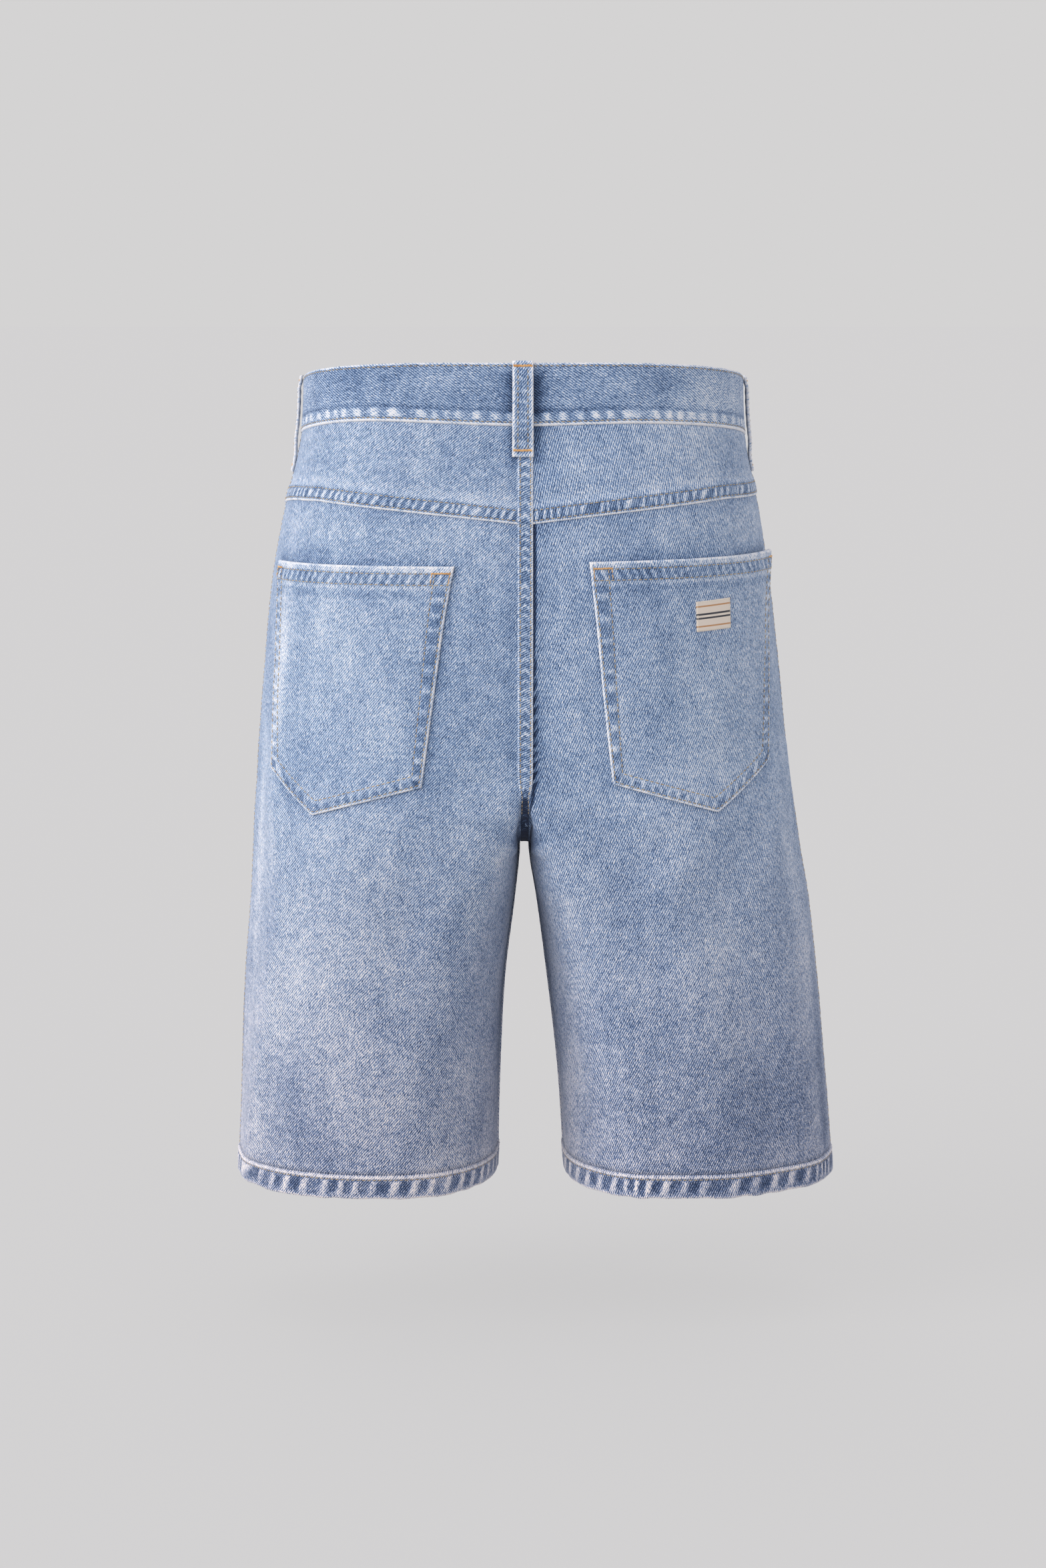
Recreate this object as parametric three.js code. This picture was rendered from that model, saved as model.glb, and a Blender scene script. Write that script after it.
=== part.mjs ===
import * as THREE from 'three'

// Denim shorts, worn form with no wearer. Millimetres, +Z up, front towards -Y,
// wearer's left on +X. The origin is the middle of the waist opening.

// Cloth and sewing
const cloth = 1.5 // one layer of washed denim, as a wall
const seamGap = 0.3 // clearance between neighbouring pieces
const underGap = 1.3 // clearance of a piece that lies behind a curved panel
const overGap = 0.5 // clearance of a piece that lies on one
const bandWall = 3.0 // folded waistband
const bandProud = 1.0 // how far the waistband stands out from the yoke
const hemDrop = 16.8 // depth of the turned-up hem
const hemZ = -552.5 // lower edge of both legs

// Rise, from the waist down to the crotch and up again
const crotchZ = -317.5
const crotchY = -5
const riseBack = 55 // height over which the back seam turns under
const riseFront = 75
const easeBelow = 45 // away from the seam the turn starts this far below the crotch
const cleftHalf = 3.6 // half the gap between the thighs at the crotch
const cleftRound = 4 // rounding of the gap's roof
const cleftFull = 0.55 // the gap closes between these shares of riseBack above the crotch
const cleftShut = 1.15

// Horizontal sections, from the hem up. out: side edge of each half; in: how far the inner
// leg stands from the centre; back, front: depth; peak: x of the fullest point; outExp,
// inExp: roundness of the outer and inner quarters; side: y of the outseam
const sectionColumns =
  ['z', 'outL', 'outR', 'inL', 'inR', 'back', 'front', 'peak', 'outExp', 'inExp', 'side']
const sections = [
  [-560, 201.5, 217, 15.8, 26, 93, 88, 97, 2.2, 2.3, 0],
  [-480, 198.1, 210.1, 14, 20.8, 98.5, 91.5, 96, 2.2, 2.6, 2],
  [-410, 194.3, 203.2, 10, 12.6, 105.5, 95.5, 94, 2.2, 3, 4],
  [-360, 190.5, 197.6, 3.6, 5.8, 112, 99.5, 90, 2.2, 3.7, 6],
  [-325, 188, 191.8, 0, 0.3, 117.5, 103, 82, 2.2, 4.6, 7],
  [-290, 186, 186.6, 0, 0, 123, 106.5, 62, 2.25, 5, 8],
  [-250, 183, 181, 0, 0, 127.5, 110.5, 34, 2.3, 5, 8],
  [-200, 179.3, 175.4, 0, 0, 130, 115.5, 12, 2.35, 4, 8],
  [-140, 173, 168, 0, 0, 130.5, 120, 0, 2.45, 3, 8],
  [-90, 163.5, 160.2, 0, 0, 126.5, 122, 0, 2.6, 3, 7],
  [-40, 151.7, 150.3, 0, 0, 119, 121, 0, 2.8, 3, 6],
  [40, 148.7, 147.8, 0, 0, 113, 117, 0, 2.9, 3, 6]
].map(row => Object.fromEntries(row.map((value, i) => [sectionColumns[i], value])))

// Large soft folds. side: +1 wearer's left; g: place round the half from the outseam (0)
// to the back (+1) or front (-1) end; depth: outwards positive
const folds = [
  { side: 1, gTop: 0.32, gLow: 0.15, zTop: -190, zLow: -540, width: 0.05, depth: 1.8 },
  { side: 1, gTop: 0.2, gLow: 0.07, zTop: -230, zLow: -540, width: 0.05, depth: -1.4 },
  { side: 1, gTop: 0.8, gLow: 0.7, zTop: -330, zLow: -520, width: 0.07, depth: -1.8 },
  { side: -1, gTop: 0.27, gLow: 0.18, zTop: -290, zLow: -545, width: 0.05, depth: 1.8 },
  { side: -1, gTop: 0.38, gLow: 0.3, zTop: -300, zLow: -545, width: 0.06, depth: -1.8 },
  { side: -1, gTop: 0.84, gLow: 0.78, zTop: -340, zLow: -530, width: 0.06, depth: -1.6 },
  { side: 1, gTop: -0.86, gLow: -0.55, zTop: -260, zLow: -420, width: 0.08, depth: -2.2 },
  { side: -1, gTop: -0.86, gLow: -0.5, zTop: -255, zLow: -400, width: 0.08, depth: -2.4 },
  { side: 1, gTop: -0.3, gLow: -0.22, zTop: -300, zLow: -540, width: 0.07, depth: 1.8 },
  { side: -1, gTop: -0.34, gLow: -0.25, zTop: -280, zLow: -540, width: 0.07, depth: 1.8 }
]

const clamp = (v, lo, hi) => Math.min(Math.max(v, lo), hi)
const mix = (a, b, t) => a + (b - a) * t
const smooth = (lo, hi, v) => {
  const t = clamp((v - lo) / (hi - lo), 0, 1)
  return t * t * (3 - 2 * t)
}

// Cubic run of one column of the section table through its rows
function column(name, z) {
  let i = 0
  while (i < sections.length - 2 && z > sections[i + 1].z) i++
  const slope = k => {
    const chord = j => (sections[j + 1][name] - sections[j][name]) / (sections[j + 1].z - sections[j].z)
    if (k === 0) return chord(0)
    if (k === sections.length - 1) return chord(k - 1)
    const before = sections[k].z - sections[k - 1].z
    const after = sections[k + 1].z - sections[k].z
    return (chord(k - 1) * after + chord(k) * before) / (before + after)
  }
  const h = sections[i + 1].z - sections[i].z
  const t = clamp((z - sections[i].z) / h, 0, 1)
  const rise = t * t * (3 - 2 * t)
  const lead = t * (1 - t) * (1 - t) * h * slope(i)
  const lag = t * t * (t - 1) * h * slope(i + 1)
  return mix(sections[i][name], sections[i + 1][name], rise) + lead + lag
}

// Quarter of a rounded square: angle to its two coordinates
function quarter(angle, power) {
  const c = Math.abs(Math.cos(angle))
  const s = Math.abs(Math.sin(angle))
  const m = (c ** power + s ** power) ** (1 / power)
  return [c / m, s / m]
}

// Bare outline of one half at height z. g runs from the outseam, 0, to the back end, +1,
// or the front end, -1. Above the crotch the ends lie on the centre seam, below it they
// meet at the inseam. Past its ends it goes on into the next piece.
function outline(side, g, z) {
  const aboveCrotch = z > crotchZ
  const over = Math.abs(g) > 1
  let run = over ? Math.sign(g) * (2 - Math.abs(g)) : g
  if (over && !aboveCrotch) run = -run
  const toBack = run >= 0
  const f = Math.abs(run)
  const outX = column(side > 0 ? 'outL' : 'outR', z)
  const inner = aboveCrotch ? 0 : Math.max(column(side > 0 ? 'inL' : 'inR', z), 0)
  const endX = seamGap / 2 + inner
  const depth = toBack ? column('back', z) : -column('front', z)
  const peak = Math.max(column('peak', z), endX + 1e-6)
  const sideY = column('side', z)
  const height = toBack ? riseBack : riseFront
  const turn = clamp((crotchZ + height - z) / height, 0, 1)
  const reach = aboveCrotch ? Math.sqrt(1 - turn * turn) : 0
  const eased = smooth(crotchZ - easeBelow, crotchZ + height, z)
  const meetY = crotchY + (toBack ? 1 : -1) * seamGap / 2
  const meanY = mix(meetY, depth, eased)
  const outExp = column('outExp', z)
  // Lengths of the two rounded quarters, near enough to share g between them
  const squarer = 1 + 0.11 * (outExp - 2)
  const outerRun = Math.PI / 2 * Math.hypot(outX - peak, depth - sideY) / Math.SQRT2 * squarer
  const innerRun = Math.hypot(peak - endX, depth - meanY) * (1.2 - 0.08 * eased)
  const share = Math.min(outerRun / (outerRun + innerRun), 1 - 1e-6)
  let x, y
  if (f < share) {
    const [c, s] = quarter(f / share * Math.PI / 2, outExp)
    x = peak + (outX - peak) * c
    y = sideY + (depth - sideY) * s
  } else {
    const [c, s] = quarter(clamp((f - share) / (1 - share), 0, 1) * Math.PI / 2, column('inExp', z))
    const endY = mix(meetY, depth, mix(eased, reach, s ** 8))
    x = peak - (peak - endX) * s
    y = endY + (depth - endY) * c
  }
  const fromEnd = Math.hypot((1 - f) * (outerRun + innerRun), Math.max(crotchZ - z, 0))
  const round = Math.sqrt(1 - (1 - Math.min(fromEnd / cleftRound, 1)) ** 2)
  const cleft = 1 - smooth(crotchZ + cleftFull * riseBack, crotchZ + cleftShut * riseBack, z)
  x += cleftHalf * round * cleft * (1 - x / outX)
  return new THREE.Vector3(side * (over && aboveCrotch ? -x : x), y, z)
}

const foldFade = 35 // a fold dies away over this much either side of its ends

function foldDepth(side, g, z) {
  let sum = 0
  for (const fold of folds) {
    if (fold.side !== side) continue
    const along = clamp((fold.zTop - z) / (fold.zTop - fold.zLow), 0, 1)
    const off = (g - mix(fold.gTop, fold.gLow, along)) / fold.width
    const starts = smooth(fold.zLow - foldFade, fold.zLow + foldFade, z)
    const ends = smooth(fold.zTop - foldFade, fold.zTop + foldFade, z)
    sum += fold.depth * Math.exp(-off * off) * starts * (1 - ends)
  }
  return sum
}

// Point of the cloth's outer face, moved out by lift, and the direction outwards
function surface(side, g, z, lift = 0) {
  const dg = 0.002
  const dz = 0.6
  const alongG = outline(side, g + dg, z).sub(outline(side, g - dg, z))
  const alongZ = outline(side, g, z + dz).sub(outline(side, g, z - dz))
  const out = alongG.cross(alongZ).multiplyScalar(side)
  if (Math.abs(g) > 1 - 1e-6 && z > crotchZ - 1e-6) out.x = 0 // square to the centre seam
  out.normalize()
  const point = outline(side, g, z).addScaledVector(out, foldDepth(side, g, z) + lift)
  return { point, out }
}

// Distance round the half from the outseam, turned into g
function placeAt(side, arc, z) {
  const steps = 60
  const sign = Math.sign(arc)
  let length = 0
  let last = outline(side, 0, z)
  for (let i = 1; i <= steps; i++) {
    const next = outline(side, sign * i / steps, z)
    const step = next.distanceTo(last)
    if (length + step >= Math.abs(arc)) return sign * (i - 1 + (Math.abs(arc) - length) / step) / steps
    length += step
    last = next
  }
  return sign
}

function lengthAt(side, g, z) {
  const steps = 60
  let length = 0
  for (let i = 0; i < steps; i++) {
    length += outline(side, g * i / steps, z).distanceTo(outline(side, g * (i + 1) / steps, z))
  }
  return length
}

// Seam lines
const waistTilt = 0.125 // the back of the waist stands higher than the front
const dip = (x, width) => Math.exp(-((x / width) ** 2))
const waistSeamZ = (x, y) => -40.3 + waistTilt * y - 2.6 * dip(x, 55) + 2.4 * dip(x - 118, 45)
const waistTopZ = (x, y) => -0.8 + waistTilt * y - 0.6 * dip(x, 55)
const yokeSideZ = { 1: -77.5, '-1': -76 }
const yokeCentreZ = -91
const yokeSlant = 6 // the left yoke drops this much more at the outseam

function seamOf(line, side, g) {
  let point = outline(side, g, -30)
  for (let i = 0; i < 3; i++) point = outline(side, g, line(point.x, point.y))
  return line(point.x, point.y)
}

function yokeZ(side, f) {
  const inwards = clamp((f - 0.42) / 0.58, 0, 1) ** 1.25
  const outwards = side > 0 ? yokeSlant * clamp(1 - f / 0.45, 0, 1) ** 2 : 0
  return mix(yokeSideZ[side], yokeCentreZ, inwards) - outwards
}

// Turns a closed set of points and faces into a geometry whose faces point outwards
function solid(points, faces) {
  let volume = 0
  for (const [a, b, c] of faces) {
    volume += points[a].dot(new THREE.Vector3().crossVectors(points[b], points[c])) / 6
  }
  const position = []
  const index = []
  for (const p of points) position.push(p.x, p.y, p.z)
  for (const [a, b, c] of faces) index.push(a, volume > 0 ? b : c, volume > 0 ? c : b)
  const geometry = new THREE.BufferGeometry()
  geometry.setAttribute('position', new THREE.Float32BufferAttribute(position, 3))
  geometry.setIndex(index)
  geometry.computeVertexNormals()
  return geometry
}

// Closed wall over a grid: at(row, col) gives { point, out }, the wall lies inside it
function wall(rows, cols, at, thickness) {
  const points = []
  const faces = []
  for (let i = 0; i <= rows; i++) {
    for (let j = 0; j <= cols; j++) {
      const { point, out } = at(i, j)
      points.push(point, point.clone().addScaledVector(out, -thickness))
    }
  }
  const id = (i, j, inner) => (i * (cols + 1) + j) * 2 + inner
  // Each quad is cut along its shorter diagonal
  const quad = (a, b, c, d) => {
    const cutAC = points[a].distanceTo(points[c]) <= points[b].distanceTo(points[d])
    faces.push(...(cutAC ? [[a, b, c], [a, c, d]] : [[b, c, d], [b, d, a]]))
  }
  for (let i = 0; i < rows; i++) {
    for (let j = 0; j < cols; j++) {
      quad(id(i, j, 0), id(i, j + 1, 0), id(i + 1, j + 1, 0), id(i + 1, j, 0))
      quad(id(i, j, 1), id(i + 1, j, 1), id(i + 1, j + 1, 1), id(i, j + 1, 1))
    }
    quad(id(i, 0, 0), id(i + 1, 0, 0), id(i + 1, 0, 1), id(i, 0, 1))
    quad(id(i, cols, 0), id(i, cols, 1), id(i + 1, cols, 1), id(i + 1, cols, 0))
  }
  for (let j = 0; j < cols; j++) {
    quad(id(0, j, 0), id(0, j, 1), id(0, j + 1, 1), id(0, j + 1, 0))
    quad(id(rows, j, 0), id(rows, j + 1, 0), id(rows, j + 1, 1), id(rows, j, 1))
  }
  return solid(points, faces)
}

// Closed ring: stations round it, each with the same number of section points
function ring(stations, corners, at) {
  const points = []
  const faces = []
  for (let i = 0; i < stations; i++) {
    for (let k = 0; k < corners; k++) points.push(at(i, k))
  }
  for (let i = 0; i < stations; i++) {
    for (let k = 0; k < corners; k++) {
      const a = i * corners + k
      const b = i * corners + (k + 1) % corners
      const c = ((i + 1) % stations) * corners + (k + 1) % corners
      const d = ((i + 1) % stations) * corners + k
      faces.push([a, b, c], [a, c, d])
    }
  }
  return solid(points, faces)
}

// Legs. t runs from the hem, 0, to the crotch, 1, and on to the top seam, 2. Near the
// centre the rows crowd towards the crotch, where the seam turns under.
const columnCrowd = 1.2 // columns crowd a little towards the centre
const rowsBelow = 9
const rowsAbove = 14
const turned = 0.5 // share of the upper rows spent on the turn of the rise
const legCols = 16
const panelFoot = hemZ + hemDrop + seamGap

function legRowZ(f, t, topZ, height, scoop = 0) {
  const nearCentre = f ** 3
  if (t < 1) {
    const down = 1 - t
    return crotchZ - (crotchZ - panelFoot) * mix(down, down ** 1.8, nearCentre)
  }
  const up = t - 1
  const low = Math.PI / 2 * Math.min(up / turned, 1)
  const high = Math.max(up - turned, 0) / (1 - turned)
  const centre = crotchZ + height * (1 - Math.cos(low)) + (topZ - crotchZ - height) * high
  const level = topZ - scoop
  const outer = scoop
    ? mix(crotchZ, level, Math.min(up / turned, 1)) + scoop * (1 - Math.cos(Math.PI / 2 * high))
    : mix(crotchZ, topZ, up)
  return mix(outer, centre, nearCentre)
}

const legT = i => i < rowsBelow ? i / rowsBelow : 1 + (i - rowsBelow) / rowsAbove

const clearOfOutseam = f => mix(seamGap / 2 / 240, 1, f)

function backPanel(side) {
  return wall(rowsBelow + rowsAbove, legCols, (i, j) => {
    const f = clearOfOutseam(1 - (1 - j / legCols) ** columnCrowd)
    const z = legRowZ(f, legT(i), yokeZ(side, f) - seamGap / 2, riseBack)
    return surface(side, f, z)
  }, cloth)
}

// The front leaves the hand pocket's opening free: a quarter oval round the top outer corner
const scoopDrop = 78
const scoopShare = 0.5

function scoopEdge(z, top) {
  const t = clamp((top - z) / scoopDrop, 0, 1)
  return scoopShare * Math.sqrt(1 - t * t)
}

function frontPanel(side) {
  return wall(rowsBelow + rowsAbove, legCols, (i, j) => {
    const share = 1 - (1 - j / legCols) ** columnCrowd
    let f = share
    let z = 0
    for (let k = 0; k < 6; k++) {
      const top = seamOf(waistSeamZ, side, -f) - seamGap / 2
      z = legRowZ(f, legT(i), top, riseFront, scoopDrop)
      f = clearOfOutseam(mix(scoopEdge(z, top), 1, share))
    }
    return surface(side, -f, z)
  }, cloth)
}

function pocketFacing(side) {
  const rows = 6
  const cols = 9
  const below = 22 // how far it runs on under the front
  return wall(rows, cols, (i, j) => {
    const f = clearOfOutseam((scoopShare + 0.1) * j / cols)
    const top = seamOf(waistSeamZ, side, -f) - seamGap
    return surface(side, -f, mix(top - scoopDrop - below, top, i / rows), -cloth - underGap)
  }, cloth)
}

function yoke(side) {
  const rows = 4
  return wall(rows, legCols, (i, j) => {
    const f = clearOfOutseam(1 - (1 - j / legCols) ** columnCrowd)
    const z = mix(yokeZ(side, f) + seamGap / 2, seamOf(waistSeamZ, side, f) - seamGap / 2, i / rows)
    return surface(side, f, z)
  }, cloth)
}

// Waistband: one strip, its left end over its right end at the front
const overlapLeft = 0.02 // how far each end passes the centre front, as a share of a half
const overlapRight = 0.15

function waistband() {
  const half = 34
  const rows = 3
  const cols = 2 * half
  return wall(rows, cols, (i, j) => {
    const left = j <= half
    const side = left ? 1 : -1
    const g = left
      ? mix(-1 - overlapLeft, 1, j / half)
      : mix(1, -1 - overlapRight, (j - half) / half)
    const under = left ? 0 : (bandWall + seamGap + 0.05) * smooth(0.86, 0.97, -g)
    const z = mix(seamOf(waistSeamZ, side, g) + seamGap / 2, seamOf(waistTopZ, side, g), i / rows)
    return surface(side, g, z, bandProud - under)
  }, bandWall)
}

// Patch pockets: arc is measured from the outseam towards the back
const pockets = {
  1: {
    innerTop: { arc: 193.4, z: -119 },
    innerLow: { arc: 184, z: -265 },
    point: { arc: 109, z: -287 },
    outerLow: { arc: 65.3, z: -259 },
    outerTop: { arc: 48.3, z: -120 },
    cornerLift: 1
  },
  '-1': {
    innerTop: { arc: 193.4, z: -116 },
    innerLow: { arc: 193, z: -263 },
    point: { arc: 124, z: -284 },
    outerLow: { arc: 70, z: -253 },
    outerTop: { arc: 36, z: -114 },
    cornerLift: 3.5
  }
}

function pocketPoint(side, across, down, lift) {
  const { innerTop, innerLow, point, outerLow, outerTop, cornerLift } = pockets[side]
  const top = { arc: mix(innerTop.arc, outerTop.arc, across), z: mix(innerTop.z, outerTop.z, across) }
  const middle = (innerLow.arc - point.arc) / (innerLow.arc - outerLow.arc)
  const [from, to, t] = across < middle
    ? [innerLow, point, across / middle]
    : [point, outerLow, (across - middle) / (1 - middle)]
  const arc = mix(top.arc, mix(from.arc, to.arc, t), down)
  const z = mix(top.z, mix(from.z, to.z, t), down)
  const away = Math.hypot(arc - outerTop.arc, z - outerTop.z) / 32
  return surface(side, placeAt(side, arc, z), z, lift + cornerLift * Math.exp(-away * away))
}

function backPocket(side) {
  const rows = 8
  const innerCols = 6
  const outerCols = 4
  const { innerLow, point, outerLow } = pockets[side]
  const middle = (innerLow.arc - point.arc) / (innerLow.arc - outerLow.arc)
  return wall(rows, innerCols + outerCols, (i, j) => {
    const across = j < innerCols
      ? middle * j / innerCols
      : mix(middle, 1, (j - innerCols) / outerCols)
    return pocketPoint(side, across, i / rows, overGap + cloth)
  }, cloth)
}

// Woven label on the right pocket
const labelWall = 0.6
const labelCorners = {
  innerTop: { arc: 123.8, z: -143.7 },
  innerLow: { arc: 125.2, z: -163.6 },
  outerTop: { arc: 95.6, z: -142 },
  outerLow: { arc: 97.6, z: -162.2 }
}

function label() {
  const side = -1
  const steps = 4
  const { innerTop, innerLow, outerTop, outerLow } = labelCorners
  return wall(steps, steps, (i, j) => {
    const across = j / steps
    const down = i / steps
    const arc = mix(mix(innerTop.arc, outerTop.arc, across), mix(innerLow.arc, outerLow.arc, across), down)
    const z = mix(mix(innerTop.z, outerTop.z, across), mix(innerLow.z, outerLow.z, across), down)
    return surface(side, placeAt(side, arc, z), z, 2 * overGap + cloth + labelWall)
  }, labelWall)
}

// Belt loops: a folded strip sewn down at both ends, standing off the waistband between
const loopWidth = 12.8
const loopWall = 2.2
const loopGap = 3.3
// arc: place round the waist from the outseam; tail: how far it runs on below the band
const loopPlaces = [
  { name: 'belt_loop_back', side: 1, arc: 'centre', tail: 20 },
  { name: 'belt_loop_side_left', side: 1, arc: 9, tail: 26 },
  { name: 'belt_loop_side_right', side: -1, arc: 6, tail: 24 },
  { name: 'belt_loop_front_left', side: 1, arc: -152, tail: 22 },
  { name: 'belt_loop_front_right', side: -1, arc: -152, tail: 22 }
]

function beltLoop({ side, arc, tail }) {
  const rows = 14
  const cols = 2
  const middle = arc === 'centre' ? 1 : placeAt(side, arc, -20)
  const halfShare = loopWidth / 2 / lengthAt(side, 1, -20)
  const seam = seamOf(waistSeamZ, side, middle)
  const top = seamOf(waistTopZ, side, middle)
  return wall(rows, cols, (i, j) => {
    const z = mix(seam - tail, top, i / rows)
    const onYoke = overGap + loopWall
    const onBand = bandProud + overGap + loopWall
    const off = bandProud + loopGap + loopWall
    const leaves = smooth(seam - tail + 7, seam - 1, z)
    const returns = smooth(top - 9, top - 3, z)
    const lift = mix(mix(onYoke, off, leaves), onBand, returns)
    return surface(side, middle + halfShare * (j - cols / 2), z, lift)
  }, loopWall)
}

// Hem: three layers, turned up all round the leg. lift is measured from the leg's outer face
const hemSection = [
  { up: 0, lift: -2.6 },
  { up: 0, lift: -0.4 },
  { up: 1.4, lift: 1 },
  { up: 6, lift: 1.3 },
  { up: hemDrop, lift: 0.4 },
  { up: hemDrop, lift: -2.6 },
  { up: 6, lift: -3 },
  { up: 1.4, lift: -3 }
]

function hem(side) {
  const stations = 44
  return ring(stations, hemSection.length, (i, k) => {
    const g = 2 * i / stations - 1
    const { up, lift } = hemSection[k]
    return surface(side, g, hemZ + up, lift).point
  })
}

// Fly shield behind the centre front, sewn to the right front and hidden below the band
function flyShield() {
  const rows = 6
  const cols = 3
  const drop = 150
  const width = 0.17
  return wall(rows, cols, (i, j) => {
    const g = -1 + width * mix(1, -0.1, j / cols)
    const top = seamOf(waistSeamZ, 1, g) - seamGap
    return surface(1, g, mix(top - drop, top, i / rows), -cloth - underGap)
  }, cloth)
}

// Metal button on the left end of the band: a domed cap
const buttonRadius = 8.5
const buttonArc = -218

function button() {
  const profile = [
    [0, 0], [3.2, 0], [3.2, 0.8], [7.6, 1], [buttonRadius, 1.7], [buttonRadius, 2.6],
    [7.4, 3.4], [5.4, 3.5], [3.4, 3.1], [0, 3]
  ].map(([r, h]) => new THREE.Vector2(r, h))
  const geometry = new THREE.LatheGeometry(profile, 28)
  const g = placeAt(1, buttonArc, -35)
  const z = mix(seamOf(waistSeamZ, 1, g), seamOf(waistTopZ, 1, g), 0.52)
  const { point, out } = surface(1, g, z, bandProud + seamGap)
  const turn = new THREE.Quaternion().setFromUnitVectors(new THREE.Vector3(0, 1, 0), out)
  return { geometry, point, turn }
}

function denim(color) {
  return new THREE.MeshStandardMaterial({ color, roughness: 0.9, metalness: 0 })
}

const woven = new THREE.MeshStandardMaterial({ color: 0xe6dccb, roughness: 0.8, metalness: 0 })
const copper = new THREE.MeshStandardMaterial({ color: 0xb98d5f, roughness: 0.4, metalness: 1 })

const group = new THREE.Group()
function add(name, geometry, material) {
  const mesh = new THREE.Mesh(geometry, material)
  mesh.name = name
  group.add(mesh)
  return mesh
}

for (const [end, side] of [['left', 1], ['right', -1]]) {
  add(`back_${end}`, backPanel(side), denim(0x8aa4cc))
  add(`front_${end}`, frontPanel(side), denim(0x8aa4cc))
  add(`yoke_${end}`, yoke(side), denim(0x86a1cb))
  add(`pocket_facing_${end}`, pocketFacing(side), denim(0x7d99c6))
  add(`back_pocket_${end}`, backPocket(side), denim(0x8fa8ce))
  add(`hem_${end}`, hem(side), denim(0x93a9cc))
}
add('waistband', waistband(), denim(0x7f9bc7))
for (const place of loopPlaces) add(place.name, beltLoop(place), denim(0x8ca6cd))
add('fly_shield', flyShield(), denim(0x7d99c6))
add('label', label(), woven)

const { geometry, point, turn } = button()
const cap = add('button', geometry, copper)
cap.position.copy(point)
cap.quaternion.copy(turn)

export default group
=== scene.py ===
import math

import bpy
import numpy as np
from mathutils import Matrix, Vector


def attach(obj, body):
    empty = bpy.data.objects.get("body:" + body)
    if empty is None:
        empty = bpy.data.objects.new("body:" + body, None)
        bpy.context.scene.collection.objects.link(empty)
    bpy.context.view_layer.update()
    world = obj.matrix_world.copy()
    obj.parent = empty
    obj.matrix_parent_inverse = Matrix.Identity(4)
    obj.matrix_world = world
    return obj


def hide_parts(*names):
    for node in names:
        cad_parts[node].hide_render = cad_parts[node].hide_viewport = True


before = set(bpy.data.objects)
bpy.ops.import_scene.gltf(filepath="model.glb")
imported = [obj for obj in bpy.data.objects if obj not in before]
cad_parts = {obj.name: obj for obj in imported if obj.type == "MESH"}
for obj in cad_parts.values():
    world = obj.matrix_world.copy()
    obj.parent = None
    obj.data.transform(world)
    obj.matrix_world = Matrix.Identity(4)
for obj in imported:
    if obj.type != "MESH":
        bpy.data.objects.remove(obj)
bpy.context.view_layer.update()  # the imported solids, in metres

mm = 0.001
scene = bpy.context.scene


# Studio: the camera stands behind the shorts, as in the photograph
studio = {
    "distance": 2.400,
    "height": 0.052,
    "pitchDown": 7.88,
    "turned": 0.3,  # degrees towards +X
    "aside": 0.00074,
    "lens": 79.89,  # for a 36 mm long side
    "floorZ": -0.648,
    "floorSize": 400.0,
    "floorColor": "#656464",
    "floorGlow": "#bfbebe",
    "seenColor": "#d4d3d3",  # what the camera sees behind the floor
    "skyColor": "#fbfbff",
    "skyStrength": 0.80,
    # name, where it comes from, angle across, strength
    "suns": [
        ("key", (1.0, 0.55, 0.40), 50, 1.9),
        ("front", (0.5, -1.0, 0.35), 60, 0.55),
    ],
}


def linear(hexColor):
    # sRGB hex to the linear colour that nodes and lights take
    parts = [int(hexColor[i : i + 2], 16) / 255 for i in (1, 3, 5)]
    return [c / 12.92 if c <= 0.04045 else ((c + 0.055) / 1.055) ** 2.4 for c in parts]


def node(tree, kind, settings=None, links=None):
    # Adds one node: settings are its own values or its sockets' by name, links feed its sockets
    made = tree.nodes.new(kind)
    for name, value in (settings or {}).items():
        if hasattr(made, name):
            setattr(made, name, value)
        else:
            made.inputs[name].default_value = value
    for name, source in (links or {}).items():
        tree.links.new(source, made.inputs[name])
    return made


def newMaterial(name):
    # A material with its tree of nodes and its shader
    material = bpy.data.materials.new(name)
    material.use_nodes = True
    return material, material.node_tree, material.node_tree.nodes["Principled BSDF"]


def colorRamp(tree, factor, colors, stops, interpolation="LINEAR"):
    # Colours at their stops along a factor
    made = node(tree, "ShaderNodeValToRGB", None, {"Fac": factor})
    ramp = made.color_ramp
    ramp.interpolation = interpolation
    while len(ramp.elements) < len(colors):
        ramp.elements.new(0.5)
    for element, at, color in zip(ramp.elements, stops, colors):
        element.position = at
        element.color = (*linear(color), 1)
    return made.outputs["Color"]


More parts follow.
